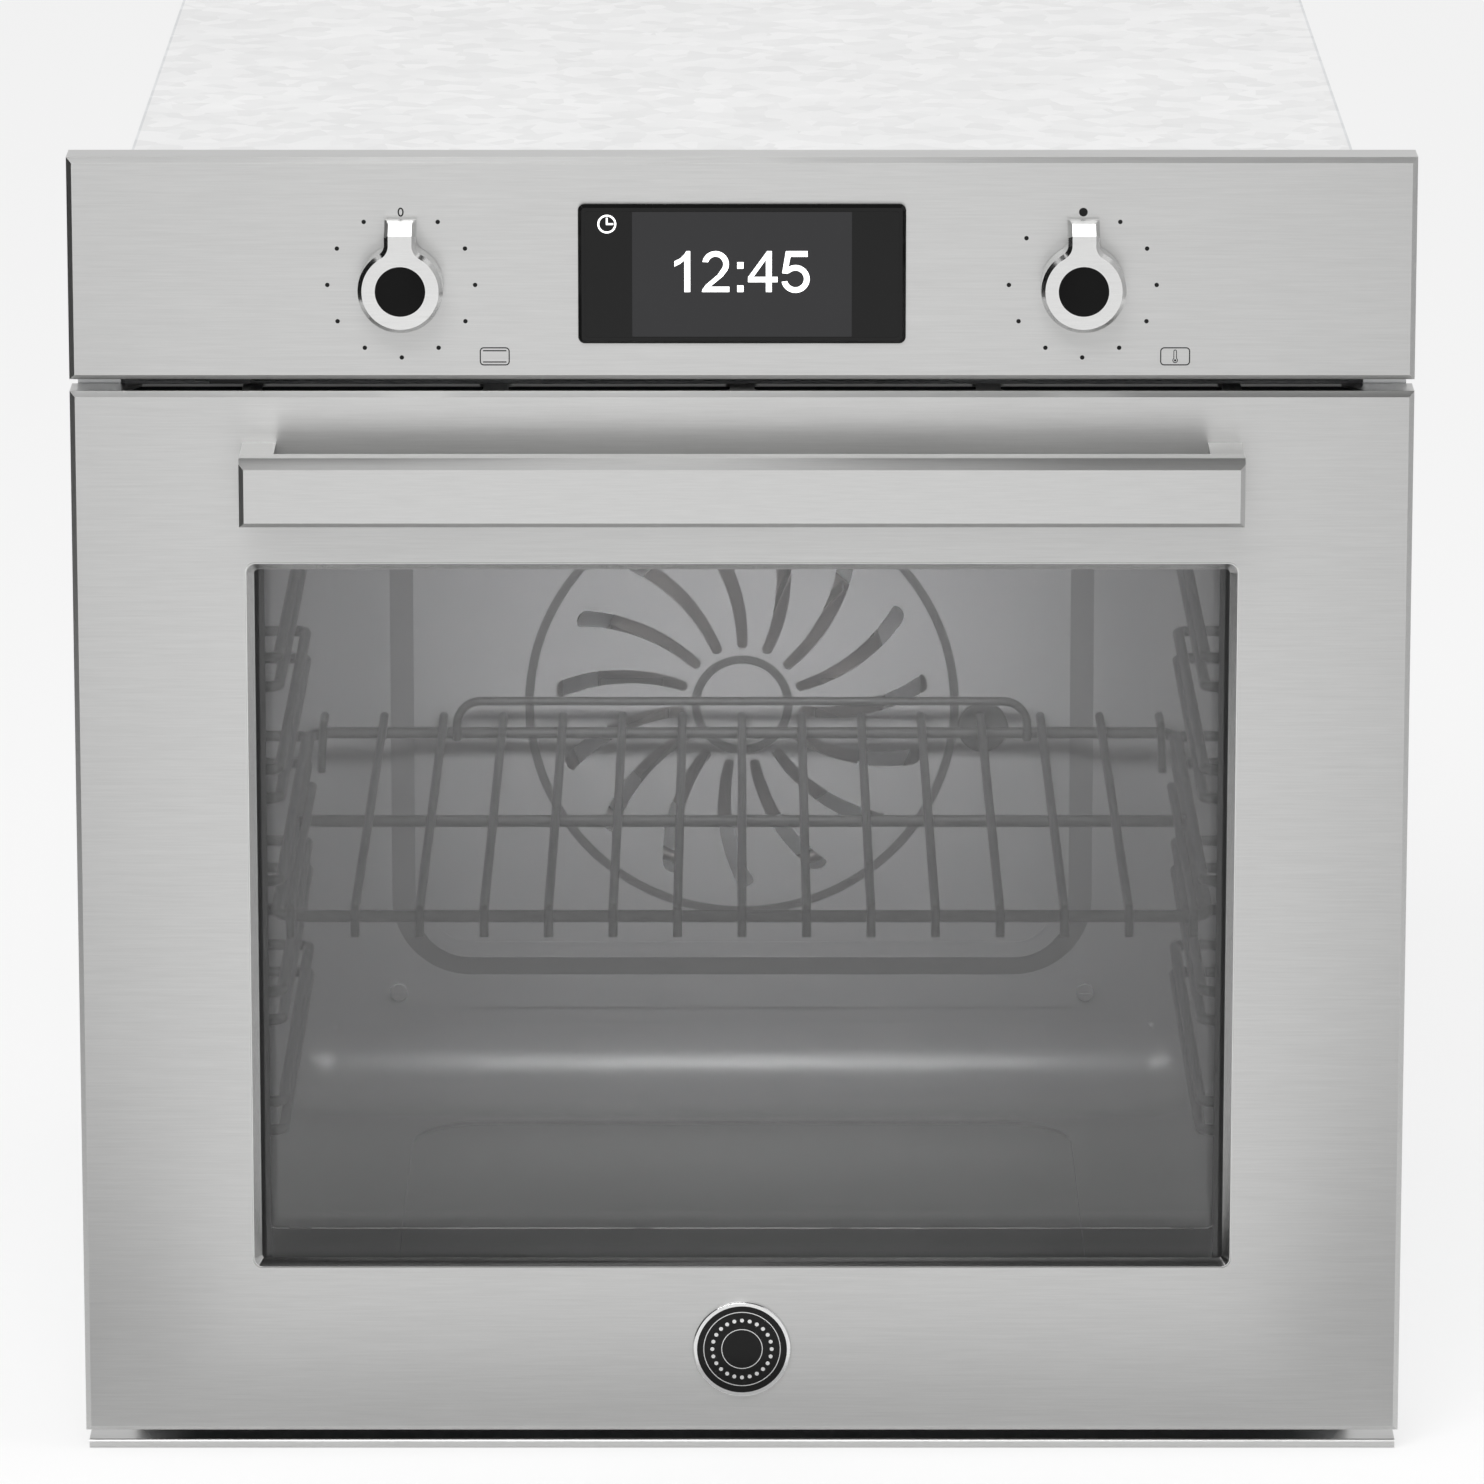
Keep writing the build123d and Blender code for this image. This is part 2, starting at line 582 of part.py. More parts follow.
def oven_cavity():
    liner = cavity_solid(CAVITY_SHEET)
    liner += mouth_slab(CAVITY_SHEET + CAVITY_FLANGE, FRAME_BACK, FRAME_BACK + CAVITY_SHEET)
    length = FLOOR_RECESS_BACK - FLOOR_RECESS_FRONT
    floor = Pos(0, (FLOOR_RECESS_FRONT + FLOOR_RECESS_BACK) / 2, RECESS_BOTTOM)
    recess = floor * RectangleRounded(FLOOR_RECESS_WIDTH, length, FLOOR_RECESS_RADIUS)
    wall = CAVITY_SHEET
    under = floor * RectangleRounded(
        FLOOR_RECESS_WIDTH + 2 * wall, length + 2 * wall, FLOOR_RECESS_RADIUS + wall)
    liner += extrude(under, amount=FLOOR_RECESS_DEPTH + CAVITY_SHEET / 2)
    liner -= cavity_solid(0)
    liner -= Pos(0, 0, CAVITY_SHEET) * extrude(recess, amount=FLOOR_RECESS_DEPTH + CAVITY_SHEET)
    y0, y1 = CAVITY_BACK - CUT, LINER_BACK + CUT
    liner -= rounded_slab(CHAMBER_WIDTH, CHAMBER_HEIGHT, CHAMBER_RADIUS, y0, y1, FAN_Z)
    for x in (-ELEMENT_LEG_X, ELEMENT_LEG_X):
        z = CAVITY_CEILING - GRILL_DROP
        liner -= bar((x, CAVITY_BACK - CAVITY_RADIUS, z), (x, y1, z), ELEMENT_R + FIT)
    for x, z in cover_screw_spots():
        liner -= bar((x, y0, z), (x, y1, z), COVER_SCREW_R + RUNNING_FIT)
    low, high = CAVITY_CEILING - CUT, CAVITY_CEILING + 3 * SHEET
    return liner - bar((LAMP_X, LAMP_Y, low), (LAMP_X, LAMP_Y, high), LAMP_R + FIT)


def cavity_insulation():
    """Mineral wool round the cavity, open at the mouth and at the back."""
    half = HALF_CAVITY + CAVITY_SHEET + INSULATION
    low = RECESS_BOTTOM - INSULATION
    front = FRAME_BACK + CAVITY_SHEET + FIT
    wool = block(-half, half, front, CAVITY_BACK - CAVITY_RADIUS, low, CAVITY_CEILING + INSULATION)
    wool -= cavity_solid(CAVITY_SHEET + RUNNING_FIT)
    margin = BOTTOM_HALF + 4 * ELEMENT_R
    tube_low = RECESS_BOTTOM - 2 * ELEMENT_R - FIT
    wool -= block(-margin, margin, front - CUT, CAVITY_BACK, tube_low, CAVITY_FLOOR)
    recess_half = FLOOR_RECESS_WIDTH / 2 + CAVITY_SHEET + FIT
    wool -= block(-recess_half, recess_half, front - CUT, CAVITY_BACK, RECESS_BOTTOM - FIT, CAVITY_FLOOR)
    lamp = bar((LAMP_X, LAMP_Y, CAVITY_CEILING), (LAMP_X, LAMP_Y, DECK_HEIGHT), LAMP_R + 4 * SHEET)
    return wool - lamp


def door_gasket():
    y0 = DOOR_REAR + FIT
    ring = mouth_slab(CAVITY_SHEET + GASKET_WIDTH, y0, FRAME_Y)
    return ring - mouth_slab(CAVITY_SHEET, y0 - CUT, FRAME_Y + CUT)


# Fan and its cover

def cover_screw_spots():
    return [(sx * COVER_SCREW_X, FAN_Z + sz * COVER_SCREW_Z) for sx in (-1, 1) for sz in (-1, 1)]


def slot_edge(radius, side, share):
    """Point on one side of a curved slot, share 0 at its inner end and 1 at its outer end."""
    angle = pi / 2 + radians(SLOT_SWEEP) * share ** SLOT_LEAN
    width = SLOT_WIDTH_IN + (SLOT_WIDTH_OUT - SLOT_WIDTH_IN) * share
    angle += side * width / 2 / radius
    return (radius * cos(angle), radius * sin(angle))


def curved_slot():
    """Air slot that starts radially and leans over towards its wider outer end."""
    middle = (SLOT_R_IN + SLOT_R_OUT) / 2
    left = [slot_edge(r, 1, s) for r, s in ((SLOT_R_IN, 0), (middle, 0.5), (SLOT_R_OUT, 1))]
    right = [slot_edge(r, -1, s) for r, s in ((SLOT_R_IN, 0), (middle, 0.5), (SLOT_R_OUT, 1))]
    tip_in = slot_edge(SLOT_R_IN - SLOT_WIDTH_IN / 3, 0, 0)
    tip_out = slot_edge(SLOT_R_OUT + SLOT_WIDTH_OUT / 4, 0, 1)
    outline = [
        ThreePointArc(left[0], left[1], left[2]),
        ThreePointArc(left[2], tip_out, right[2]),
        ThreePointArc(right[2], right[1], right[0]),
        ThreePointArc(right[0], tip_in, left[0]),
    ]
    return make_face(outline)


def fan_cover():
    """Pressed sheet with sloped sides, curved air slots and two pressed rings."""
    base = upright(CAVITY_BACK, 0, FAN_Z)
    slope = COVER_SHEET * sqrt(2)
    raised = RectangleRounded(COVER_WIDTH, COVER_HEIGHT, COVER_RADIUS)
    hollow = RectangleRounded(COVER_WIDTH - 2 * slope, COVER_HEIGHT - 2 * slope, COVER_RADIUS - slope)
    wide, tall = COVER_WIDTH + 2 * COVER_FLANGE, COVER_HEIGHT + 2 * COVER_FLANGE_END
    cover = rounded_slab(wide, tall, COVER_FLANGE_END, CAVITY_BACK - COVER_SHEET, CAVITY_BACK, FAN_Z)
    cover += extrude(base * raised, amount=COVER_RAISE, taper=45)
    cover -= extrude(base * hollow, amount=COVER_RAISE - COVER_SHEET, taper=45)
    front = upright(COVER_FRONT, 0, FAN_Z)
    cutter = extrude(front * curved_slot(), amount=2 * COVER_SHEET, both=True)
    turn = Axis((0, 0, FAN_Z), (0, -1, 0))
    cover -= [cutter.rotate(turn, 360.0 * i / SLOT_COUNT) for i in range(SLOT_COUNT)]
    for radius in (RING_GROOVE_R, HUB_GROOVE_R):
        ring = Circle(radius + RING_GROOVE_WIDTH / 2) - Circle(radius - RING_GROOVE_WIDTH / 2)
        cover -= extrude(front * ring, amount=GROOVE_DEPTH, both=True)
    wide, tall = COVER_WIDTH - 2 * COVER_LINE_INSET, COVER_HEIGHT - 2 * COVER_LINE_INSET
    line = RectangleRounded(wide, tall, COVER_RADIUS / 2)
    line -= RectangleRounded(
        wide - 2 * COVER_LINE_WIDTH, tall - 2 * COVER_LINE_WIDTH, COVER_RADIUS / 2 - COVER_LINE_WIDTH)
    cover += extrude(front * line, amount=GROOVE_DEPTH)
    for x, z in cover_screw_spots():
        y0, y1 = CAVITY_BACK - 2 * COVER_SHEET, CAVITY_BACK + CUT
        cover -= bar((x, y0, z), (x, y1, z), COVER_SCREW_R + RUNNING_FIT)
    y0 = COVER_FRONT - 2 * GROOVE_DEPTH
    return cover - bar((SOCKET_X, y0, SOCKET_Z), (SOCKET_X, CAVITY_BACK, SOCKET_Z), SOCKET_STEM_R + FIT)


def fan_cover_screws():
    screws = []
    seat = CAVITY_BACK - COVER_SHEET
    top = seat - COVER_SCREW_R
    for x, z in cover_screw_spots():
        screw = bar((x, top, z), (x, seat, z), COVER_SCREW_HEAD_R)
        screw += bar((x, seat, z), (x, LINER_BACK + 3 * SHEET, z), COVER_SCREW_R)
        screw -= Pos(x, top, z) * Box(SCREW_CROSS, COVER_SCREW_R, COVER_SCREW_R / 2)
        screws.append(screw - Pos(x, top, z) * Box(COVER_SCREW_R / 2, COVER_SCREW_R, SCREW_CROSS))
    return group(screws)


def ring_leg():
    """Half distance between the ring element's ends, and their height."""
    half_angle = atan2(RING_LEG_X, RING_ELEMENT_R)
    return RING_ELEMENT_R * sin(half_angle), FAN_Z - RING_ELEMENT_R * cos(half_angle)


def fan_chamber():
    """Pan behind the back wall that houses the fan and the ring element."""
    wide, tall = CHAMBER_WIDTH, CHAMBER_HEIGHT
    rim = CHAMBER_FLANGE
    pan = rounded_slab(
        wide + 2 * SHEET, tall + 2 * SHEET, CHAMBER_RADIUS + SHEET, LINER_BACK, CHAMBER_BACK, FAN_Z)
    pan += rounded_slab(
        wide + 2 * rim, tall + 2 * rim, CHAMBER_RADIUS + rim, LINER_BACK, LINER_BACK + SHEET, FAN_Z)
    pan -= rounded_slab(wide, tall, CHAMBER_RADIUS, LINER_BACK - CUT, CHAMBER_BACK - SHEET, FAN_Z)
    y0, y1 = CHAMBER_BACK - 2 * SHEET, CHAMBER_BACK + CUT
    pan -= bar((0, y0, FAN_Z), (0, y1, FAN_Z), FAN_SHAFT_R + SHAFT_HOLE_CLEAR)
    leg_x, z = ring_leg()
    for x in (-leg_x, leg_x):
        pan -= bar((x, y0, z), (x, y1, z), ELEMENT_R + FIT)
    return pan


def convection_fan():
    back = IMPELLER_BACK
    front = back - IMPELLER_DEPTH
    wheel = bar((0, back - SHEET, FAN_Z), (0, back, FAN_Z), IMPELLER_R)
    wheel += bar((0, back - IMPELLER_DEPTH / 2, FAN_Z), (0, back, FAN_Z), 3 * FAN_SHAFT_R)
    blade = block(IMPELLER_BORE_R, IMPELLER_R - CUT, front, back - SHEET / 2, -SHEET / 2, SHEET / 2)
    turns = [360.0 * i / IMPELLER_COUNT for i in range(IMPELLER_COUNT)]
    wheel += [Pos(0, 0, FAN_Z) * blade.rotate(Axis.Y, turn) for turn in turns]
    return wheel - bar((0, front, FAN_Z), (0, back + CUT, FAN_Z), FAN_SHAFT_R + RUNNING_FIT / 2)


def fan_shaft():
    front = IMPELLER_BACK - IMPELLER_DEPTH / 2 - FAN_SHAFT_R
    return bar((0, front, FAN_Z), (0, CHAMBER_BACK + MOTOR_DEPTH - SHAFT_STOP, FAN_Z), FAN_SHAFT_R)


def fan_motor():
    y0, y1 = CHAMBER_BACK, CHAMBER_BACK + MOTOR_DEPTH
    half, ears, ear_half = MOTOR_SIZE / 2, MOTOR_EARS / 2, MOTOR_SIZE / 6
    motor = block(-half, half, y0, y1, FAN_Z - half, FAN_Z + half)
    motor = chamfer(motor.edges().filter_by(Axis.Y), half / 4)
    motor += block(-ears, ears, y0, y0 + 2 * SHEET, FAN_Z - ear_half, FAN_Z + ear_half)
    end = y1 - SHAFT_STOP + SHAFT_END_CLEAR
    return motor - bar((0, y0 - CUT, FAN_Z), (0, end, FAN_Z), FAN_SHAFT_R + RUNNING_FIT)


def ring_element():
    """Tube in an open ring, with its two ends turned back through the chamber's wall."""
    y = LINER_BACK + CHAMBER_DEPTH / 3
    open_half = degrees(atan2(RING_LEG_X, RING_ELEMENT_R))
    ring_arc = CenterArc((0, 0, 0), RING_ELEMENT_R, -90 + open_half, 360 - 2 * open_half)
    path = upright(y, 0, FAN_Z) * ring_arc
    ring = sweep(Plane(origin=path @ 0, z_dir=path % 0) * Circle(ELEMENT_R), path=path)
    leg_x, z = ring_leg()
    for x in (-leg_x, leg_x):
        ring += bar((x, y, z), (x, CHAMBER_BACK + 4 * ELEMENT_R, z), RING_LEG_R)
        ring += Pos(x, y, z) * Sphere(ELEMENT_R)
    return ring


def probe_socket():
    x, z, face = SOCKET_X, SOCKET_Z, COVER_FRONT - SOCKET_PROUD
    socket = bar((x, face, z), (x, COVER_FRONT, z), SOCKET_R)
    socket = fillet(socket.faces().sort_by(Axis.Y)[0].edges(), SOCKET_PROUD / 3)
    socket += bar((x, COVER_FRONT - CUT, z), (x, CAVITY_BACK - SOCKET_STEM_STOP, z), SOCKET_STEM_R)
    return socket - bar((x, face - CUT, z), (x, COVER_FRONT + JACK_DEPTH, z), JACK_R)


# Heating elements and lamp

def loop_element(half, front, rear, leg_end, z):
    """Heating tube that leaves the back wall, runs round and returns beside itself."""
    points = [
        (-ELEMENT_LEG_X, leg_end, z), (-ELEMENT_LEG_X, rear, z), (-half, rear, z), (-half, front, z),
        (half, front, z), (half, rear, z), (ELEMENT_LEG_X, rear, z), (ELEMENT_LEG_X, leg_end, z),
    ]
    return bent_wire(points, ELEMENT_BEND, ELEMENT_R)


def grill_element():
    z = CAVITY_CEILING - GRILL_DROP
    return loop_element(GRILL_HALF, GRILL_FRONT, GRILL_REAR, LINER_BACK + ELEMENT_TAIL, z)


def bottom_element():
    z = RECESS_BOTTOM - RUNNING_FIT - ELEMENT_R
    return loop_element(BOTTOM_HALF, GRILL_FRONT, GRILL_REAR, LINER_BACK + ELEMENT_TAIL, z)


def lamp_holder():
    z0 = CAVITY_CEILING + CAVITY_SHEET
    z1 = z0 + LAMP_HEIGHT
    cup = bar((LAMP_X, LAMP_Y, z0), (LAMP_X, LAMP_Y, z1), LAMP_R + 3 * SHEET)
    return cup - bar((LAMP_X, LAMP_Y, z0 - CUT), (LAMP_X, LAMP_Y, z1 - 2 * SHEET), LAMP_R + FIT)


def lamp_lens():
    z0 = CAVITY_CEILING - LENS_DROP
    z1 = CAVITY_CEILING + CAVITY_SHEET + LAMP_HEIGHT / 2
    cup = bar((LAMP_X, LAMP_Y, z0), (LAMP_X, LAMP_Y, z1), LAMP_R)
    cup = fillet(cup.faces().sort_by(Axis.Z)[0].edges(), LAMP_R / 5)
    return cup - bar((LAMP_X, LAMP_Y, z0 + LENS_WALL), (LAMP_X, LAMP_Y, z1 + CUT), LAMP_R - LENS_WALL)


# Racks

def side_rack():
    """Right-hand wire ladder: a pair of rails per level between two upright wires."""
    reach = LEVEL_PITCH * (LEVEL_COUNT - 1) / 2
    low = LEVEL_MIDDLE - reach - POST_OVERRUN
    high = LEVEL_MIDDLE + reach + RAIL_PAIR + POST_OVERRUN
    rack = None
    for y in (RAIL_FRONT, RAIL_REAR):
        points = [(HALF_CAVITY, y, low), (POST_X, y, low), (POST_X, y, high), (HALF_CAVITY, y, high)]
        post = bent_wire(points, POST_BEND, WIRE_R)
        rack = post if rack is None else rack + post
    corners = [(POST_X, RAIL_FRONT), (RAIL_X, RAIL_FRONT), (RAIL_X, RAIL_REAR), (POST_X, RAIL_REAR)]
    for level in range(LEVEL_COUNT):
        for lift in (0, RAIL_PAIR):
            z = LEVEL_MIDDLE - reach + level * LEVEL_PITCH + lift
            rack = rack + bent_wire([(x, y, z) for x, y in corners], RAIL_BEND, WIRE_R)
    return rack


def wire_rack():
    """Shelf of welded wire with tips bent down in front and a guard rail at the back."""
    side = RACK_SIDE_X
    corners = [(0, RACK_FRONT), (side, RACK_FRONT), (side, RACK_REAR), (0, RACK_REAR)]
    half_loop = bent_wire([(x, y, RACK_Z) for x, y in corners], 4 * RACK_BAR_R, RACK_BAR_R)
    shelf = half_loop + mirror(half_loop, about=Plane.YZ)
    middle = (RACK_FRONT + RACK_REAR) / 2
    shelf += bar((-side, middle, RACK_Z), (side, middle, RACK_Z), RACK_BAR_R)
    top = RACK_WIRE_Z
    front = RACK_FRONT - RACK_TIP_REACH
    tail = RACK_REAR + RACK_TAIL
    for i in range(-RACK_SIDE_COUNT, RACK_SIDE_COUNT + 1):
        x = i * RACK_PITCH
        end = tail if abs(i) < RACK_SIDE_COUNT else middle + RACK_SHORT_WIRE
        points = [(x, end, top), (x, front, top), (x, front, top - RACK_TIP_DROP)]
        shelf += bent_wire(points, RACK_WIRE_BEND, RACK_WIRE_R)
    for x in (-RACK_SIDE_COUNT * RACK_PITCH, RACK_SIDE_COUNT * RACK_PITCH):
        stop_back, stop_front = RACK_REAR - RACK_STOP_BACK, RACK_REAR - RACK_STOP_FRONT
        points = [(x, tail, top), (x, stop_back, top), (x, stop_front, top - RACK_TAIL)]
        shelf += bent_wire(points, RACK_WIRE_BEND, RACK_WIRE_R)
    y = RACK_REAR - RACK_BAR_R - RACK_WIRE_R + WELD
    foot, rail = RACK_Z - RACK_BAR_R, RACK_Z + GUARD_RISE
    corners = [(-GUARD_HALF, foot), (-GUARD_HALF, rail), (GUARD_HALF, rail), (GUARD_HALF, foot)]
    return shelf + bent_wire([(x, y, z) for x, z in corners], GUARD_BEND, RACK_WIRE_R)


# Door

def door_skin():
    """Front sheet of the door with the window hole, and air slots in its top fold."""
    y1 = Y_FRONT + DOOR_DEPTH
    skin = folded_tray(DOOR_BOTTOM, DOOR_TOP, y1)
    wide = HALF_FRONT + CUT
    skin -= block(-wide, wide, Y_FRONT + BOTTOM_FOLD, y1 + CUT, DOOR_BOTTOM - CUT, DOOR_BOTTOM + SKIN)
    skin -= rounded_slab(
        WINDOW_WIDTH, WINDOW_HEIGHT, WINDOW_RADIUS, Y_FRONT - CUT, SKIN_BACK + CUT, WINDOW_MIDDLE)
    front, back = Y_FRONT + DOOR_SLOT_FRONT, y1 - SKIN
    slot = RectangleRounded(DOOR_SLOT_LENGTH, back - front, DOOR_SLOT_RADIUS)
    slot = extrude(slot, amount=2 * SKIN, both=True)
    spots = GridLocations(DOOR_SLOT_LENGTH + DOOR_SLOT_WEB, 1, DOOR_SLOT_COUNT, 1)
    skin -= [Pos(0, (front + back) / 2, DOOR_TOP) * spot * slot for spot in spots]
    corners = [
        (DOOR_END_START, front),
        (DOOR_END_OPENING, front),
        (DOOR_END_OPENING - DOOR_END_SLANT, back),
        (DOOR_END_START, back),
    ]
    end = Pos(0, 0, DOOR_TOP) * make_face(Polyline(*corners, close=True))
    skin -= both_sides(extrude(end, amount=2 * SKIN, both=True))
    z = HANDLE_SCREW_Z
    for x in (-POST_CENTRE_X, POST_CENTRE_X):
        skin -= bar((x, Y_FRONT - CUT, z), (x, SKIN_BACK + CUT, z), HANDLE_SCREW_R + RUNNING_FIT)
    return skin


def window_frame():
    """Bevelled ring that lines the window hole and clamps the outer glass."""
    wide, tall = WINDOW_WIDTH - 2 * FIT, WINDOW_HEIGHT - 2 * FIT
    lap_wide, lap_tall = WINDOW_WIDTH + 2 * GLASS_LAP, WINDOW_HEIGHT + 2 * GLASS_LAP
    radius = WINDOW_RADIUS - FIT
    ring = rounded_slab(wide, tall, radius, Y_FRONT, OUTER_GLASS_Y, WINDOW_MIDDLE)
    ring += rounded_slab(
        lap_wide, lap_tall, WINDOW_RADIUS + GLASS_LAP, SKIN_BACK, OUTER_GLASS_Y, WINDOW_MIDDLE)
    mouth = RectangleRounded(wide - 2 * FIT, tall - 2 * FIT, radius)
    sight = RectangleRounded(wide - 2 * BEVEL, tall - 2 * BEVEL, WINDOW_RADIUS / 3)
    front = upright(Y_FRONT, 0, WINDOW_MIDDLE) * mouth
    back = upright(OUTER_GLASS_Y, 0, WINDOW_MIDDLE) * sight
    return ring - loft([front, back], ruled=True)


def outer_glass():
    wide, tall = WINDOW_WIDTH + 2 * GLASS_LAP, WINDOW_HEIGHT + 2 * GLASS_LAP
    radius = WINDOW_RADIUS + GLASS_LAP
    return rounded_slab(wide, tall, radius, OUTER_GLASS_Y, OUTER_GLASS_BACK, WINDOW_MIDDLE)


def middle_glass():
    half = PILLAR_INNER_X - FIT
    pane = block(-half, half, MIDDLE_GLASS_Y, MIDDLE_GLASS_Y + GLASS, MIDDLE_GLASS_BOTTOM, RAIL_TOP_LOW)
    pane = fillet(pane.faces().sort_by(Axis.Z)[0].edges().filter_by(Axis.Y), WINDOW_RADIUS)
    return chamfer(pane.faces().sort_by(Axis.Y)[0].edges(), GLASS / 4)


def inner_glass():
    low = HINGE_Z - INNER_GLASS_DROP
    pane = block(-INNER_GLASS_HALF, INNER_GLASS_HALF, INNER_GLASS_Y, DOOR_REAR, low, PILLAR_TOP)
    return fillet(pane.edges().filter_by(Axis.Y), WINDOW_RADIUS)


def door_pillar():
    """Right-hand hollow pillar between the outer and inner glass."""
    step = WINDOW_WIDTH / 2 + GLASS_LAP + FIT
    pillar = None
    for wall, sign in ((0, 1), (PILLAR_SHEET, -1)):
        low, high = PILLAR_BOTTOM + wall, PILLAR_TOP - wall
        x0, x1 = PILLAR_INNER_X + wall, PILLAR_OUTER_X - wall
        y0, y1 = OUTER_GLASS_BACK + wall, INNER_GLASS_Y - wall
        body = block(x0, x1, y0, y1, low, high) + block(step + wall, x1, SKIN_BACK + wall, y0, low, high)
        pillar = body if sign > 0 else pillar - body
    return pillar


def cross_rail(z0, z1, open_up):
    """Channel between the pillars, open upwards or downwards."""
    t = PILLAR_SHEET
    half, past = PILLAR_INNER_X, PILLAR_INNER_X + CUT
    rail = block(-half, half, OUTER_GLASS_BACK, INNER_GLASS_Y, z0, z1)
    low, high = (z0 + t, z1 + CUT) if open_up else (z0 - CUT, z1 - t)
    return rail - block(-past, past, OUTER_GLASS_BACK + t, INNER_GLASS_Y - t, low, high)


def handle_bar():
    half = HANDLE_LENGTH / 2
    y0 = HANDLE_BACK - HANDLE_THICK
    body = block(-half, half, y0, HANDLE_BACK, HANDLE_TOP - HANDLE_HEIGHT, HANDLE_TOP)
    top_front = body.edges().filter_by(Axis.X).sort_by(lambda e: e.center().Z - e.center().Y)[-1]
    body = chamfer(top_front, HANDLE_TOP_BEVEL)
    face = body.faces().sort_by(Axis.Y)[0]
    rest = face.edges().filter_by(Axis.Z) + face.edges().filter_by(Axis.X).sort_by(Axis.Z)[:1]
    return chamfer(rest, HANDLE_EDGE_BEVEL)


def handle_post():
    """Right-hand block that holds the bar off the door."""
    x0, x1 = POST_CENTRE_X - POST_WIDTH / 2, POST_CENTRE_X + POST_WIDTH / 2
    post = block(x0, x1, HANDLE_BACK, Y_FRONT, HANDLE_TOP - POST_DROP, HANDLE_TOP)
    x, z, end = POST_CENTRE_X, HANDLE_SCREW_Z, HANDLE_BACK + HANDLE_SCREW_STOP - CUT
    return post - bar((x, end, z), (x, Y_FRONT + CUT, z), HANDLE_SCREW_R + RUNNING_FIT)


def handle_screw():
    x, z = POST_CENTRE_X, HANDLE_SCREW_Z
    head = bar((x, SKIN_BACK, z), (x, SKIN_BACK + HANDLE_SCREW_R, z), HANDLE_SCREW_HEAD_R)
    return head + bar((x, HANDLE_BACK + HANDLE_SCREW_STOP, z), (x, SKIN_BACK, z), HANDLE_SCREW_R)


def badge_disc():
    return bar((0, Y_FRONT - BADGE_DISC_PROUD, BADGE_Z), (0, Y_FRONT, BADGE_Z), BADGE_R - BADGE_RIM)


def badge_ring():
    ring = bar((0, Y_FRONT - BADGE_PROUD, BADGE_Z), (0, Y_FRONT, BADGE_Z), BADGE_R)
    ring = fillet(ring.faces().sort_by(Axis.Y)[0].edges(), BADGE_RIM_ROUND)
    front = Y_FRONT - BADGE_PROUD - CUT
    return ring - bar((0, front, BADGE_Z), (0, Y_FRONT + CUT, BADGE_Z), BADGE_R - BADGE_RIM)


# Hinges

def hinge_arm():
    """Right-hand arm fixed to the front frame, with the eye that carries the door's pin."""
    x0, x1 = HINGE_X - ARM_SHEET / 2, HINGE_X + ARM_SHEET / 2
    half, foot = ARM_HEIGHT / 2, FOOT_HEIGHT / 2
    arm = block(x0, x1, HINGE_Y, FRAME_Y, HINGE_Z - half, HINGE_Z + half)
    arm += bar((x0, HINGE_Y, HINGE_Z), (x1, HINGE_Y, HINGE_Z), HINGE_EYE_R)
    y0, wide = FRAME_Y - WING_SHEET, ARM_SHEET + CHEEK_SHEET
    arm += block(HINGE_X - wide, HINGE_X + wide, y0, FRAME_Y, HINGE_Z - foot, HINGE_Z + foot)
    bore = HINGE_PIN_R + RUNNING_FIT
    return arm - bar((x0 - CUT, HINGE_Y, HINGE_Z), (x1 + CUT, HINGE_Y, HINGE_Z), bore)


def hinge_bracket():
    """Right-hand fork under the door pillar, one cheek on each side of the arm."""
    gap = ARM_SHEET / 2 + CHEEK_CLEAR
    y0, y1 = SKIN_BACK, HINGE_Y + HINGE_EYE_R
    outer = HINGE_X + gap + CHEEK_SHEET
    inner = HINGE_X - gap - CHEEK_SHEET
    fork = block(inner, outer, y0, y1, PILLAR_BOTTOM - CHEEK_SHEET, PILLAR_BOTTOM)
    for x in (inner, outer - CHEEK_SHEET):
        fork += block(x, x + CHEEK_SHEET, y0, y1, HINGE_Z - HINGE_EYE_R, PILLAR_BOTTOM)
    bore = HINGE_PIN_R + RUNNING_FIT / 2
    return fork - bar((inner - CUT, HINGE_Y, HINGE_Z), (outer + CUT, HINGE_Y, HINGE_Z), bore)


def hinge_pin():
    gap = ARM_SHEET / 2 + CHEEK_CLEAR + CHEEK_SHEET
    x0, x1 = HINGE_X - gap - HINGE_PIN_END, HINGE_X + gap
    pin = bar((x0, HINGE_Y, HINGE_Z), (x1, HINGE_Y, HINGE_Z), HINGE_PIN_R)
    return pin + bar((x1, HINGE_Y, HINGE_Z), (x1 + HINGE_PIN_HEAD, HINGE_Y, HINGE_Z), HINGE_PIN_HEAD_R)


# Controls

def control_panel():
    """Front sheet above the door, with side lips that hold it on the mounting wings."""
    panel = folded_tray(PANEL_BOTTOM, FRONT_HEIGHT, PANEL_BACK)
    inside, outside = HALF_FRONT - PANEL_LIP, HALF_FRONT - SKIN / 2
    lip = block(inside, outside, PANEL_BACK - SKIN, PANEL_BACK, PANEL_BOTTOM + SKIN / 2, BODY_HEIGHT)
    panel += both_sides(lip)
    y0, y1 = Y_FRONT - CUT, SKIN_BACK + CUT
    for x in (-KNOB_X, KNOB_X):
        panel -= bar((x, y0, CONTROL_Z), (x, y1, CONTROL_Z), SHAFT_R + SHAFT_PANEL_CLEAR)
    wide, tall = DISPLAY_INNER_WIDTH + 2 * FIT, DISPLAY_INNER_HEIGHT + 2 * FIT
    return panel - rounded_slab(wide, tall, DISPLAY_RADIUS, y0, y1, DISPLAY_Z)


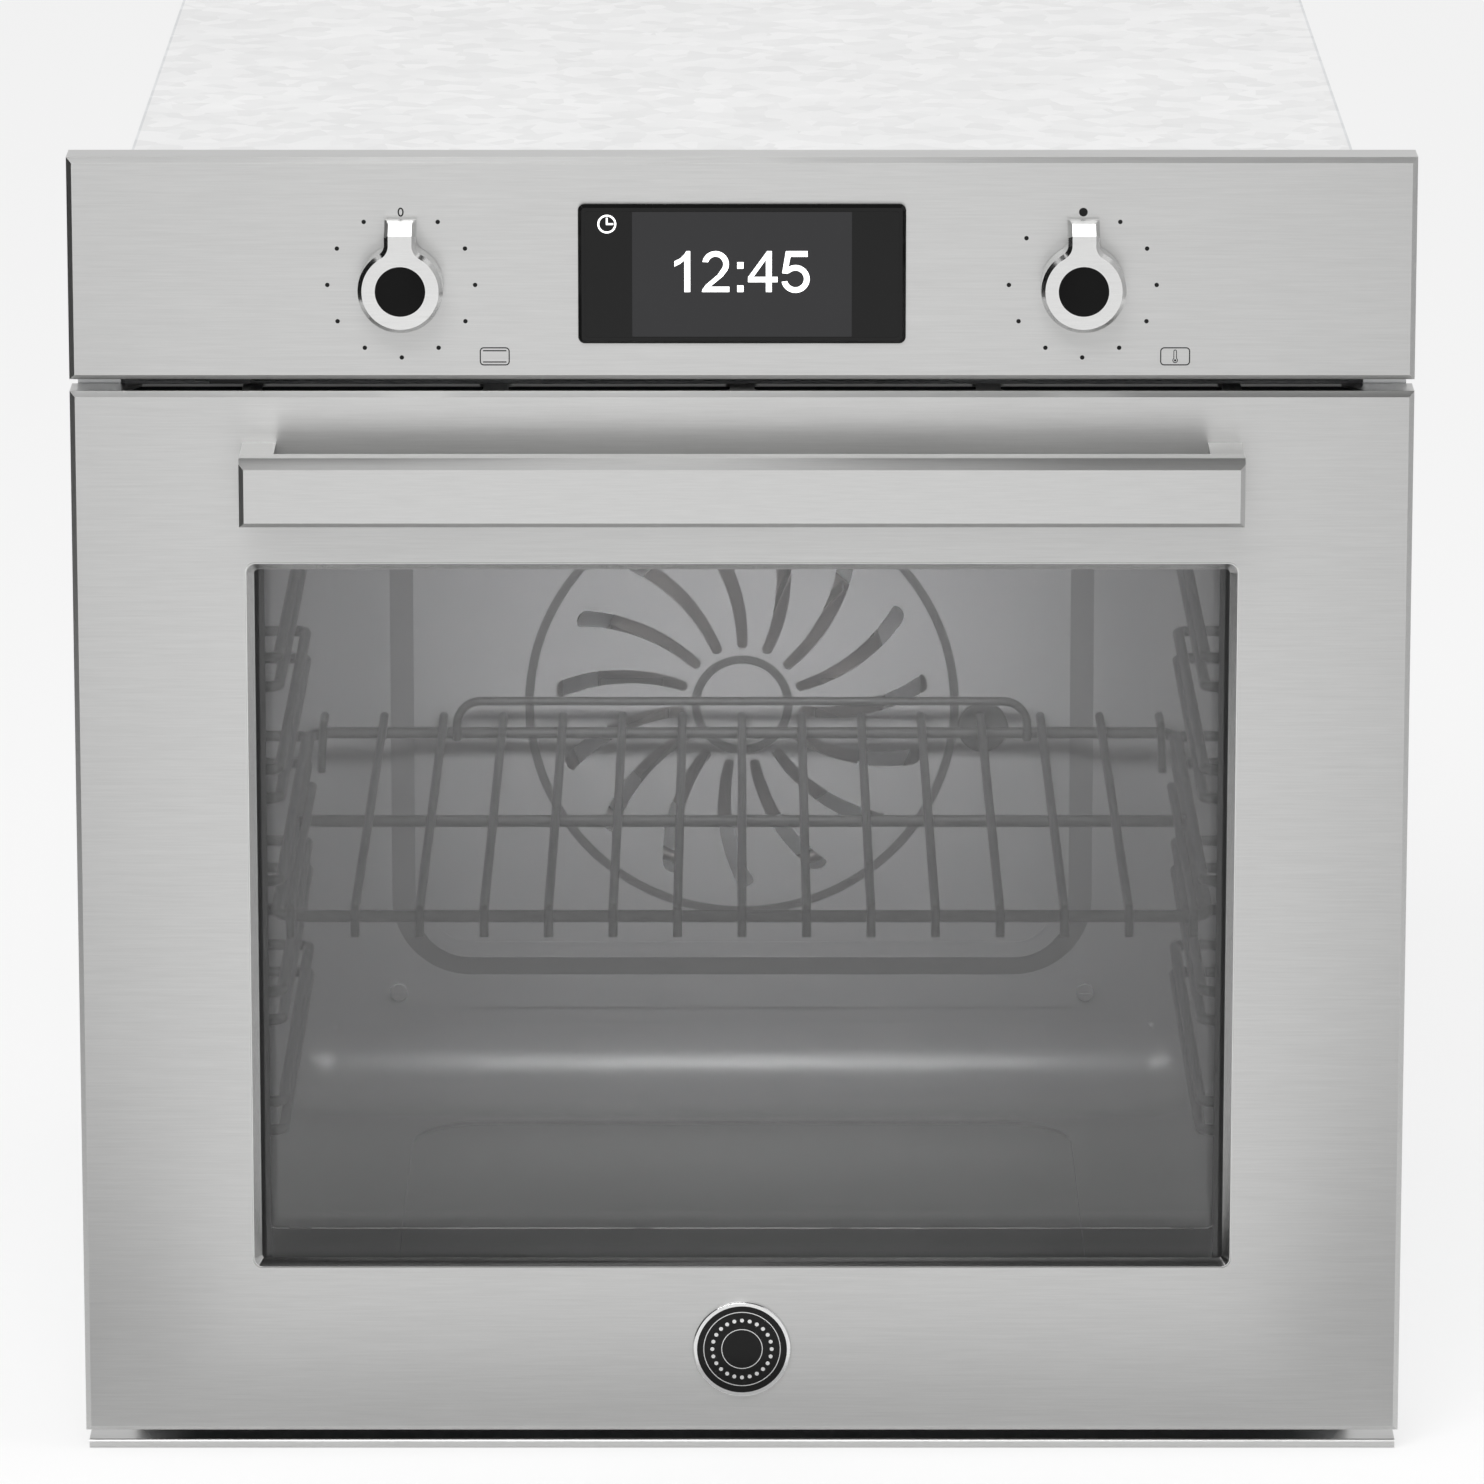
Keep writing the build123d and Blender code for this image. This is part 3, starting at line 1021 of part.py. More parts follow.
def knob_body(x):
    """Round knob with a pointer tab that slopes back at its tip, chamfered round the face and the slope."""
    reach, z = TAB_REACH, CONTROL_Z
    outline = Circle(KNOB_R) + Pos(0, reach / 2) * Rectangle(TAB_WIDTH, reach)
    beside = outline.vertices().filter_by(lambda v: abs(abs(v.X) - TAB_WIDTH / 2) < RUNNING_FIT)
    neck = beside.sort_by(lambda v: v.Y)[:2]
    outline = fillet(neck, TAB_NECK)
    body = extrude(upright(KNOB_BACK, x, z) * outline, amount=KNOB_DEPTH)
    front, back = KNOB_FACE - CUT, KNOB_FACE + TAB_SLOPE_DROP
    wedge = [
        (front, TAB_SLOPE_START),
        (KNOB_FACE, TAB_SLOPE_START),
        (back, reach),
        (back, reach + CUT),
        (front, reach + CUT),
    ]
    side = Plane(origin=(x, 0, z), x_dir=(0, 1, 0), z_dir=(1, 0, 0))
    body -= extrude(side * make_face(Polyline(*wedge, close=True)), amount=TAB_WIDTH, both=True)
    face = body.faces().sort_by(Axis.Y)[0]
    slope = body.faces().sort_by(lambda f: -f.normal_at().Y * f.normal_at().Z)[-1]
    rim = face.edges().sort_by(Axis.Z)[:-1] + slope.edges().sort_by(Axis.Z)[1:]
    body = chamfer(rim, KNOB_CHAMFER)
    body -= bar((x, front, z), (x, KNOB_FACE + KNOB_CAP_DEPTH, z), KNOB_CAP_R + RUNNING_FIT)
    return body - bar((x, KNOB_FACE, z), (x, KNOB_BACK + CUT, z), SHAFT_R + RUNNING_FIT / 2)


def knob_cap(x):
    """Dark disc let into the knob's face, slightly dished."""
    face = KNOB_FACE + KNOB_CAP_SINK
    cap = bar((x, face, CONTROL_Z), (x, KNOB_FACE + KNOB_CAP_DEPTH, CONTROL_Z), KNOB_CAP_R)
    sag = KNOB_DISH_R - sqrt(KNOB_DISH_R ** 2 - KNOB_CAP_R ** 2)
    return cap - Pos(x, face + sag - KNOB_DISH_R, CONTROL_Z) * Sphere(KNOB_DISH_R)


def knob_shaft(x):
    y0, y1 = KNOB_FACE + KNOB_CAP_DEPTH, SKIN_BACK + SWITCH_DEPTH / 2
    return bar((x, y0, CONTROL_Z), (x, y1, CONTROL_Z), SHAFT_R)


def switch_body(x):
    half, z = SWITCH_SIZE / 2, CONTROL_Z
    y0, y1 = SKIN_BACK, SKIN_BACK + SWITCH_DEPTH
    body = block(x - half, x + half, y0, y1, z - half, z + half)
    body = chamfer(body.edges().filter_by(Axis.Y), half / 5)
    return body - bar((x, y0 - CUT, z), (x, (y0 + y1) / 2 + CUT, z), SHAFT_R + RUNNING_FIT)


def display_housing():
    """Bevelled black surround that stands on the panel, with its box behind the cut-out."""
    wide, tall = DISPLAY_INNER_WIDTH, DISPLAY_INNER_HEIGHT
    back = Y_FRONT + DISPLAY_DEPTH
    rim = rounded_slab(DISPLAY_WIDTH, DISPLAY_HEIGHT, DISPLAY_RADIUS, DISPLAY_FRONT, Y_FRONT, DISPLAY_Z)
    housing = chamfer(rim.faces().sort_by(Axis.Y)[0].edges(), DISPLAY_RIM / 2)
    housing += rounded_slab(wide, tall, DISPLAY_RADIUS, Y_FRONT, back, DISPLAY_Z)
    seat = DISPLAY_FRONT + DISPLAY_GLASS
    housing -= rounded_slab(wide, tall, DISPLAY_RADIUS / 2, DISPLAY_FRONT - CUT, seat, DISPLAY_Z)
    wide, tall = wide - 2 * DISPLAY_RIM, tall - 2 * DISPLAY_RIM
    return housing - rounded_slab(wide, tall, DISPLAY_RADIUS / 2, DISPLAY_FRONT, back + CUT, DISPLAY_Z)


def display_glass():
    wide, tall = DISPLAY_INNER_WIDTH - 2 * RUNNING_FIT, DISPLAY_INNER_HEIGHT - 2 * RUNNING_FIT
    back = DISPLAY_FRONT + DISPLAY_GLASS
    return rounded_slab(wide, tall, DISPLAY_RADIUS / 2, DISPLAY_FRONT, back, DISPLAY_Z)


def control_board():
    half, y0 = BOARD_WIDTH / 2, SKIN_BACK + SWITCH_DEPTH
    y1 = y0 + BOARD
    high = BODY_HEIGHT - SHEET - BOARD_HEADROOM
    board = block(-half, half, y0, y1, PANEL_BOTTOM + BOARD_RISE, high)
    low = DISPLAY_Z - BOARD_CHIP_HEIGHT
    for x in BOARD_CHIP_PLACES:
        board += block(x, x + BOARD_CHIP_WIDTH, y1, y1 + BOARD_CHIP_DEPTH, low, DISPLAY_Z)
    return board


# Cooling blower, lock and mains terminals

def blower_housing():
    z0, z1, wide = DECK_TOP, BLOWER_TOP, BLOWER_OUTLET_HALF
    housing = bar((0, BLOWER_Y, z0), (0, BLOWER_Y, z1), BLOWER_R)
    housing += block(-wide, wide, FRAME_Y, BLOWER_Y, z0, z1)
    hollow = bar((0, BLOWER_Y, z0 - CUT), (0, BLOWER_Y, z1 - SHEET), BLOWER_R - SHEET)
    hollow += block(-wide + SHEET, wide - SHEET, FRAME_Y - CUT, BLOWER_Y, z0 - CUT, z1 - SHEET)
    bore = bar((0, BLOWER_Y, z1 - 2 * SHEET), (0, BLOWER_Y, z1 + CUT), WHEEL_SHAFT_R + WHEEL_SHAFT_CLEAR)
    return housing - hollow - bore


def blower_wheel():
    z0 = DECK_TOP + WHEEL_GAP
    wheel = bar((0, BLOWER_Y, z0), (0, BLOWER_Y, z0 + SHEET), WHEEL_R)
    wheel += bar((0, BLOWER_Y, z0), (0, BLOWER_Y, z0 + WHEEL_HEIGHT / 2), 3 * WHEEL_SHAFT_R)
    blade = block(WHEEL_BORE_R, WHEEL_R - CUT, -SHEET / 2, SHEET / 2, z0 + SHEET / 2, z0 + WHEEL_HEIGHT)
    turns = [360.0 * i / WHEEL_COUNT for i in range(WHEEL_COUNT)]
    wheel += [Pos(0, BLOWER_Y, 0) * blade.rotate(Axis.Z, turn) for turn in turns]
    end = BLOWER_TOP + BLOWER_MOTOR_HEIGHT / 2
    return wheel + bar((0, BLOWER_Y, z0), (0, BLOWER_Y, end), WHEEL_SHAFT_R)


def blower_motor():
    z0, ear, half = BLOWER_TOP, BLOWER_EAR_HALF, BLOWER_EAR_WIDTH / 2
    motor = bar((0, BLOWER_Y, z0), (0, BLOWER_Y, z0 + BLOWER_MOTOR_HEIGHT), BLOWER_MOTOR_R)
    motor += block(-ear, ear, BLOWER_Y - half, BLOWER_Y + half, z0, z0 + 2 * SHEET)
    end = z0 + BLOWER_MOTOR_HEIGHT / 2 + CUT
    return motor - bar((0, BLOWER_Y, z0 - CUT), (0, BLOWER_Y, end), WHEEL_SHAFT_R + RUNNING_FIT)


def door_lock():
    """Lock housing on the deck, with the channel that its tongue slides in."""
    half, slide = LOCK_WIDTH / 2, TONGUE_WIDTH / 2 + FIT
    y0, y1 = FRAME_Y, FRAME_Y + LOCK_DEPTH
    body = block(LOCK_X - half, LOCK_X + half, y0, y1, DECK_TOP, DECK_TOP + LOCK_HEIGHT)
    low, high = TONGUE_LOW - FIT, TONGUE_LOW + TONGUE_HEIGHT + FIT
    return body - block(LOCK_X - slide, LOCK_X + slide, y0 - CUT, y1 + CUT, low, high)


def lock_tongue():
    half, y0 = TONGUE_WIDTH / 2, FRAME_Y - TONGUE_REACH
    high = TONGUE_LOW + TONGUE_HEIGHT
    return block(LOCK_X - half, LOCK_X + half, y0, y0 + TONGUE_LENGTH, TONGUE_LOW, high)


def terminal_block():
    x, half, z = TERMINAL_X, TERMINAL_WIDTH / 2, CABLE_Z
    y0 = REAR_INSIDE - SHEET - TERMINAL_DEPTH
    body = block(x - half, x + half, y0, REAR_INSIDE, DECK_TOP, DECK_TOP + TERMINAL_HEIGHT)
    return body - bar((x, REAR_INSIDE - TERMINAL_DEPTH / 2, z), (x, REAR_INSIDE + CUT, z), CABLE_HOLE_R)


right_panel = side_panel()
right_rack = side_rack()

nodes = {
    "base_plate": base_plate(),
    "side_panel_right": right_panel,
    "side_panel_left": mirror(right_panel, about=Plane.YZ),
    "top_cover": top_cover(),
    "rear_cover": rear_cover(),
    "rear_cover_screws": rear_cover_screws(),
    "front_frame": front_frame(),
    "upper_deck": upper_deck(),
    "bottom_trim": bottom_trim(),
    "oven_cavity": oven_cavity(),
    "cavity_insulation": cavity_insulation(),
    "door_gasket": door_gasket(),
    "fan_cover": fan_cover(),
    "fan_cover_screws": fan_cover_screws(),
    "fan_chamber": fan_chamber(),
    "convection_fan": convection_fan(),
    "fan_shaft": fan_shaft(),
    "fan_motor": fan_motor(),
    "ring_element": ring_element(),
    "probe_socket": probe_socket(),
    "grill_element": grill_element(),
    "bottom_element": bottom_element(),
    "lamp_holder": lamp_holder(),
    "lamp_lens": lamp_lens(),
    "side_rack_right": right_rack,
    "side_rack_left": mirror(right_rack, about=Plane.YZ),
    "wire_rack": wire_rack(),
    "door_skin": door_skin(),
    "window_frame": window_frame(),
    "outer_glass": outer_glass(),
    "middle_glass": middle_glass(),
    "inner_glass": inner_glass(),
    "door_pillars": group(both_sides(door_pillar())),
    "door_top_rail": cross_rail(RAIL_TOP_LOW, PILLAR_TOP, True),
    "door_bottom_rail": cross_rail(RAIL_BOTTOM_LOW, RAIL_BOTTOM_HIGH, False),
    "handle_bar": handle_bar(),
    "handle_posts": group(both_sides(handle_post())),
    "handle_screws": group(both_sides(handle_screw())),
    "badge_disc": badge_disc(),
    "badge_ring": badge_ring(),
    "hinge_arms": group(both_sides(hinge_arm())),
    "hinge_brackets": group(both_sides(hinge_bracket())),
    "hinge_pins": group(both_sides(hinge_pin())),
    "control_panel": control_panel(),
    "selector_knob": knob_body(-KNOB_X),
    "selector_cap": knob_cap(-KNOB_X),
    "selector_shaft": knob_shaft(-KNOB_X),
    "temperature_knob": knob_body(KNOB_X),
    "temperature_cap": knob_cap(KNOB_X),
    "temperature_shaft": knob_shaft(KNOB_X),
    "control_switches": group([switch_body(-KNOB_X), switch_body(KNOB_X)]),
    "display_housing": display_housing(),
    "display_glass": display_glass(),
    "control_board": control_board(),
    "blower_housing": blower_housing(),
    "blower_wheel": blower_wheel(),
    "blower_motor": blower_motor(),
    "door_lock": door_lock(),
    "lock_tongue": lock_tongue(),
    "terminal_block": terminal_block(),
}

os.makedirs("parts", exist_ok=True)
for name, shape in nodes.items():
    export_step(shape, f"parts/{name}.step")
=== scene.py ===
import math

import bmesh
import bpy
from bpy.props import FloatProperty, FloatVectorProperty, IntProperty, PointerProperty
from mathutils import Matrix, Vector


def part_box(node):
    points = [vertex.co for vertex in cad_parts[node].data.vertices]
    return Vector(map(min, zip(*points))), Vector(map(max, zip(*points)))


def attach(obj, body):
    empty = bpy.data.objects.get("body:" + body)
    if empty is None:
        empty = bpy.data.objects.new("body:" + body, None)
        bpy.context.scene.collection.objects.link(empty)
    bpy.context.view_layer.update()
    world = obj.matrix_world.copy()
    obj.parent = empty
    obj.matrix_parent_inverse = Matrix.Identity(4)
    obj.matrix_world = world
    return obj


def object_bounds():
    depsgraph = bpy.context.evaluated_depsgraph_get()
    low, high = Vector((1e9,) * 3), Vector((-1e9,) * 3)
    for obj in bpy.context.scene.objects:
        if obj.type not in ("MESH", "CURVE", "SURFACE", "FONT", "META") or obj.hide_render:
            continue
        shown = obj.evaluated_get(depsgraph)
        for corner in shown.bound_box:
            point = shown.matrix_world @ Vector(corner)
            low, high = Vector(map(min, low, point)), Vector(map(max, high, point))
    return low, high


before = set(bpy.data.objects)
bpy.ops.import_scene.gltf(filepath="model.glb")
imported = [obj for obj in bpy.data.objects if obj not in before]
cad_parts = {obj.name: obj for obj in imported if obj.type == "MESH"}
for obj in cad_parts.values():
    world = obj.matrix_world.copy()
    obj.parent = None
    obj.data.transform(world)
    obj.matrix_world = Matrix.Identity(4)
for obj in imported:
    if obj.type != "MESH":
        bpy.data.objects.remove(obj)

bl_info = {
    "name": "Built-in oven dresser",
    "version": (1, 0, 0),
    "blender": (4, 5, 0),
    "location": "3D View > Sidebar > Oven",
    "description": "Finishes, printed marks, clock face and studio for a built-in wall oven",
    "category": "Object",
}

CAD_LOW, CAD_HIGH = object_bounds()
MM = 0.001

# Places on the oven, read from the frame
PANEL_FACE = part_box("control_panel")[0].y
GLASS_LOW, GLASS_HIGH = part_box("display_glass")
DISPLAY_X = (GLASS_LOW.x + GLASS_HIGH.x) / 2
DISPLAY_Z = (GLASS_LOW.z + GLASS_HIGH.z) / 2
CAP_LOW, CAP_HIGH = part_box("selector_cap")
KNOB_Z = (CAP_LOW.z + CAP_HIGH.z) / 2
SELECTOR_X = (CAP_LOW.x + CAP_HIGH.x) / 2
TEMPERATURE_X = -SELECTOR_X
BADGE_LOW, BADGE_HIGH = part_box("badge_disc")
CAVITY_LOW, CAVITY_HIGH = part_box("oven_cavity")
COVER_LOW, COVER_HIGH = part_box("fan_cover")
FAN_X = (COVER_LOW.x + COVER_HIGH.x) / 2
FAN_Z = (COVER_LOW.z + COVER_HIGH.z) / 2
PANE_LOW, PANE_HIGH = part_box("outer_glass")

# Round grooves pressed into the fan cover, and the painted shade that darkens the enamel in them
COVER_GROOVES = (105.0 * MM, 22.8 * MM)
GROOVE_HALF = 2.2 * MM
GROOVE_PAINTED_SHADE = 0.1

# Relief of a grain, a brush line or a zinc crystal
BUMP_DEPTH = 0.2 * MM

# Numbers of the colour sockets on Blender's Mix node
MIX_BELOW = 6
MIX_TOP = 7
MIX_RESULT = 2

# How much of the plain white backdrop the eye and the mirrors see in the floor, and in the sky
FLOOR_SEEN = 0.7
FLOOR_MIRRORED = 0.1
SKY_SEEN = 1.0
FLOOR_REACH = 40.0
FLOOR_GAP = 0.2 * MM

# Cards that only mirrors see, in metres: those at the sides with side, distance and tone
SIDE_CARDS = (("left", -1, 1.4, 0.01), ("right", 1, 1.6, 0.5))
SIDE_CARD_NEAR = -2.0
SIDE_CARD_FAR = 0.9
SIDE_CARD_TOP = 1.8
# Dark cards on the floor beside the door and at its foot, seen only in reflections: painted shade of the
# floor near the oven, darkening the door's lower edge and corners
FLOOR_SHADE_CARD = ((0.23, -0.05), (1.3, -0.05), (1.3, -5.0), (1.1, -5.0))
FLOOR_CARD_TONE = 0.38
FOOT_SHADE_CARD = ((-0.3, -0.15), (0.3, -0.15), (0.3, -0.03), (-0.3, -0.03))
FOOT_CARD_TONE = 0.5
CARD_LIFT = 2 * MM
# Those above with their near and far edge, tone and glow
CEILING_CARDS = (("dark_ceiling", -3.2, 0.1, 0.02, 0.0), ("lit_ceiling", 0.1, 1.3, 0.8, 2.0))
CEILING_HEIGHT = 3.05
CEILING_HALF = 2.0

# Lamps: what they look at, where they stand and how wide they are
STUDIO_AIM = (0, 0, 0.3)
KEY_PLACE = (-0.8, -2.6, 3.2)
KEY_SIZE = (2.6, 1.8)
SIDE_PLACE = (2.8, -1.2, 1.6)
SIDE_SIZE = (1.2, 1.8)
OVEN_LAMP_SIZE = (0.30, 0.06)
OVEN_LAMP_SPREAD = 75
OVEN_LAMP_DROP = 30 * MM
OVEN_LAMP_INSET = 70 * MM


def colour(label, about, value):
    """A colour that a user can pick."""
    return FloatVectorProperty(name=label, description=about, subtype="COLOR", size=4, min=0.0, max=1.0,
                               default=(*value, 1.0))


def length(label, about, value):
    """A length that a user can set, kept in metres."""
    return FloatProperty(name=label, description=about, subtype="DISTANCE", unit="LENGTH", min=0.0,
                         default=value * MM)


def share(label, about, value, top=1.0):
    """A plain number from nought to top."""
    return FloatProperty(name=label, description=about, min=0.0, max=top, default=value)


class OvenFinishes(bpy.types.PropertyGroup):
    """Colours and gloss of the oven's surfaces."""
    steel: colour("Brushed steel", "Door, fascia and handle", (0.578, 0.578, 0.573))
    steel_roughness: share("Steel roughness", "Blur of the brushed sheet", 0.34)
    galvanised: colour("Galvanised sheet", "Carcass behind the front", (0.80, 0.81, 0.82))
    # Painted light: the galvanised sheet made brighter on the top cover so that the top fades into the white
    # backdrop
    cover_zinc_painted_light: colour("Cover sheet", "Bright sheet over the top", (0.94, 0.94, 0.94))
    enamel: colour("Cavity enamel", "Walls of the oven", (0.130, 0.130, 0.131))
    frame_enamel: colour("Front frame enamel", "Frame round the mouth", (0.05, 0.05, 0.052))
    wire: colour("Wire", "Shelf and side racks", (0.010, 0.010, 0.010))
    tube: colour("Heating tube", "Sheath of the elements", (0.13, 0.12, 0.115))
    lacquer: colour("Black lacquer", "Parts inside the door", (0.018, 0.018, 0.018))
    gloss_black: colour("Gloss black", "Clock housing, knob caps and badge", (0.006, 0.006, 0.006))
    glass: colour("Window glass", "Tint of the panes", (0.936, 0.936, 0.938))
    knob: colour("Knob metal", "Turned knobs", (0.70, 0.70, 0.695))
    chrome: colour("Chrome", "Badge ring and small fixings", (0.80, 0.80, 0.80))
    rubber: colour("Gasket", "Seal round the mouth", (0.035, 0.035, 0.035))
    wool: colour("Mineral wool", "Insulation", (0.55, 0.47, 0.26))
    plastic: colour("Moulded plastic", "Switches, lock and terminals", (0.06, 0.06, 0.062))
    board: colour("Circuit board", "Solder mask", (0.015, 0.11, 0.045))
    ink: colour("Printed ink", "Marks on the fascia", (0.012, 0.012, 0.012))
    screen: colour("Screen", "Lit field behind the digits", (0.020, 0.020, 0.021))
    digits: colour("Digits", "Glow of the clock", (1.0, 1.0, 1.0))


class OvenMarks(bpy.types.PropertyGroup):
    """Sizes of what is printed, lit or engraved on the front."""
    ring_radius: length("Ring radius", "From the knob's axis to the dots", 32.7)
    dot: length("Dot", "Diameter of a small dot", 2.0)
    start_dot: length("Start dot", "Diameter of the dot above the right knob", 3.9)
    zero_height: length("Zero", "Height of the nought above the left knob", 4.1)
    line: length("Line", "Width of a printed line", 0.5)
    icon_width: length("Icon width", "Frame of a pictogram", 13.3)
    icon_height: length("Icon height", "Frame of a pictogram", 8.2)
    icon_aside: length("Icon aside", "From the knob's axis to the pictogram", 41.2)
    icon_below: length("Icon below", "From the knob's axis down to the pictogram", 32.2)
    border_inside: length("Border inside", "Between the inner edges of the printed border", 426.6)
    border_outside: length("Border outside", "Between the outer edges of the printed border", 444.0)
    print_depth: length("Print depth", "Thickness of the ink", 0.05)
    screen_width: length("Screen width", "Lit field", 97.1)
    screen_height: length("Screen height", "Lit field", 56.0)
    screen_corner: length("Screen corner", "Radius of the lit field's corners", 0.4)
    digit_height: length("Digit height", "Clock digits", 18.4)
    digit_raise: length("Digit raise", "Middle of the digits above the middle of the display", 1.3)
    clock_radius: length("Clock sign", "Outer radius of the clock sign", 4.15)
    clock_aside: length("Clock aside", "From the display's middle to the clock sign", 59.7)
    clock_above: length("Clock above", "From the display's middle up to the clock sign", 22.6)
    bulb_radius: length("Bulb", "Outer radius of the thermometer's bulb", 1.2)
    bulb_stem: length("Stem", "Half the outer width of the thermometer's stem", 0.75)
    bulb_wall: length("Bulb wall", "Line round the thermometer", 0.35)
    bulb_core: length("Bulb core", "Radius of the dot in the bulb", 0.5)
    badge_line: length("Badge line", "Width of the two rings on the badge", 0.35)
    badge_relief: length("Badge relief", "How far the badge's rings and beads stand out", 0.08)


class OvenStudio(bpy.types.PropertyGroup):
    """Camera, lamps and floor."""
    distance: length("Distance", "From the front to the camera", 4400.0)
    elevation: FloatProperty(name="Elevation", description="Camera above the horizon", subtype="ANGLE",
                             unit="ROTATION", default=math.radians(13.5))
    frame_width: length("Frame width", "What the picture spans at the front", 664.0)
    aim: length("Aim height", "Point that the camera looks at", 332.0)
    floor: colour("Floor", "Pale studio floor", (0.86, 0.86, 0.86))
    sky: share("Sky", "Even light from all round", 0.62, 4.0)
    key: FloatProperty(name="Key lamp", description="Large soft lamp above the front", unit="POWER",
                       min=0.0, default=110.0)
    side: FloatProperty(name="Side lamp", description="Soft lamp at the right", unit="POWER",
                        min=0.0, default=20.0)
    inside: FloatProperty(name="Oven lamp", description="Light inside the cavity", unit="POWER",
                          min=0.0, default=0.95)


# Shared effects

def new_group(name, inputs, outputs):
    """A shader node group with named value inputs and outputs."""
    tree = bpy.data.node_groups.new(name, "ShaderNodeTree")
    for label, value in inputs:
        socket = tree.interface.new_socket(name=label, in_out="INPUT", socket_type="NodeSocketFloat")
        socket.default_value = value
    for label in outputs:
        tree.interface.new_socket(name=label, in_out="OUTPUT", socket_type="NodeSocketFloat")
    return tree, tree.nodes.new("NodeGroupInput"), tree.nodes.new("NodeGroupOutput")


def scaled_place(tree, along, across):
    """Place on the piece, stretched by one number along X and by another along Y and Z."""
    place = tree.nodes.new("ShaderNodeTexCoord")
    stretch = tree.nodes.new("ShaderNodeCombineXYZ")
    tree.links.new(along, stretch.inputs["X"])
    tree.links.new(across, stretch.inputs["Y"])
    tree.links.new(across, stretch.inputs["Z"])
    product = tree.nodes.new("ShaderNodeVectorMath")
    product.operation = "MULTIPLY"
    tree.links.new(place.outputs["Object"], product.inputs[0])
    tree.links.new(stretch.outputs["Vector"], product.inputs[1])
    return product.outputs["Vector"]


def noise(tree, place, detail, roughness=0.55):
    """Cloudy noise from nought to one."""
    node = tree.nodes.new("ShaderNodeTexNoise")
    node.inputs["Scale"].default_value = 1.0
    node.inputs["Detail"].default_value = detail
    node.inputs["Roughness"].default_value = roughness
    tree.links.new(place, node.inputs["Vector"])
    return node.outputs["Fac"]


def brush_group():
    """Fine lines along X, and a slow drift of tone."""
    tree, entry, out = new_group("brush_lines", [("Along", 36.0), ("Across", 1300.0), ("Drift", 5.0)],
                                 ["Lines", "Cloud"])
    fine = scaled_place(tree, entry.outputs["Along"], entry.outputs["Across"])
    slow = scaled_place(tree, entry.outputs["Drift"], entry.outputs["Drift"])
    tree.links.new(noise(tree, fine, 4.0, 0.65), out.inputs["Lines"])
    tree.links.new(noise(tree, slow, 2.0), out.inputs["Cloud"])
    return tree


def grain_group():
    """Fine even grain and larger mottling."""
    tree, entry, out = new_group("surface_grain", [("Fine", 2500.0), ("Coarse", 60.0)], ["Grain", "Mottle"])
    fine = scaled_place(tree, entry.outputs["Fine"], entry.outputs["Fine"])
    coarse = scaled_place(tree, entry.outputs["Coarse"], entry.outputs["Coarse"])
    tree.links.new(noise(tree, fine, 2.0), out.inputs["Grain"])
    tree.links.new(noise(tree, coarse, 3.0), out.inputs["Mottle"])
    return tree


def spangle_group():
    """Flat crystals of a zinc coat, each with its own tone."""
    tree, entry, out = new_group("zinc_spangle", [("Crystals", 90.0)], ["Tone"])
    place = scaled_place(tree, entry.outputs["Crystals"], entry.outputs["Crystals"])
    cells = tree.nodes.new("ShaderNodeTexVoronoi")
    cells.inputs["Scale"].default_value = 1.0
    tree.links.new(place, cells.inputs["Vector"])
    split = tree.nodes.new("ShaderNodeSeparateColor")
    tree.links.new(cells.outputs["Color"], split.inputs["Color"])
    tree.links.new(split.outputs["Red"], out.inputs["Tone"])
    return tree


def edge_highlight_group():
    """Painted highlight along edges: how far a rounded normal leans away from the face."""
    tree, entry, out = new_group("painted_edge_highlight", [("Width", 0.0012)], ["Edge"])
    soft = tree.nodes.new("ShaderNodeBevel")
    soft.samples = 4
    tree.links.new(entry.outputs["Width"], soft.inputs["Radius"])
    face = tree.nodes.new("ShaderNodeNewGeometry")
    lean = tree.nodes.new("ShaderNodeVectorMath")
    lean.operation = "DOT_PRODUCT"
    tree.links.new(soft.outputs["Normal"], lean.inputs[0])
    tree.links.new(face.outputs["Normal"], lean.inputs[1])
    edge = tree.nodes.new("ShaderNodeMapRange")
    edge.inputs["From Min"].default_value = 1.0
    edge.inputs["From Max"].default_value = 0.75
    tree.links.new(lean.outputs["Value"], edge.inputs["Value"])
    tree.links.new(edge.outputs["Result"], out.inputs["Edge"])
    return tree


def groove_group():
    """One in a round groove about an axis along Y, nought elsewhere."""
    inputs = [("Centre X", 0.0), ("Centre Z", 0.0), ("Radius", 0.1), ("Half Width", 0.002)]
    tree, entry, out = new_group("round_groove", inputs, ["Groove"])
    place = tree.nodes.new("ShaderNodeTexCoord")
    centre = tree.nodes.new("ShaderNodeCombineXYZ")
    tree.links.new(entry.outputs["Centre X"], centre.inputs["X"])
    tree.links.new(entry.outputs["Centre Z"], centre.inputs["Z"])
    offset = tree.nodes.new("ShaderNodeVectorMath")
    offset.operation = "SUBTRACT"
    tree.links.new(place.outputs["Object"], offset.inputs[0])
    tree.links.new(centre.outputs["Vector"], offset.inputs[1])
    flat = tree.nodes.new("ShaderNodeVectorMath")
    flat.operation = "MULTIPLY"
    flat.inputs[1].default_value = (1.0, 0.0, 1.0)
    tree.links.new(offset.outputs["Vector"], flat.inputs[0])
    reach = tree.nodes.new("ShaderNodeVectorMath")
    reach.operation = "LENGTH"
    tree.links.new(flat.outputs["Vector"], reach.inputs[0])
    within = tree.nodes.new("ShaderNodeMath")
    within.operation = "COMPARE"
    tree.links.new(reach.outputs["Value"], within.inputs[0])
    tree.links.new(entry.outputs["Radius"], within.inputs[1])
    tree.links.new(entry.outputs["Half Width"], within.inputs[2])
    tree.links.new(within.outputs["Value"], out.inputs["Groove"])
    return tree


GROUP_MAKERS = {"brush_lines": brush_group, "surface_grain": grain_group, "zinc_spangle": spangle_group,
                "painted_edge_highlight": edge_highlight_group, "round_groove": groove_group}


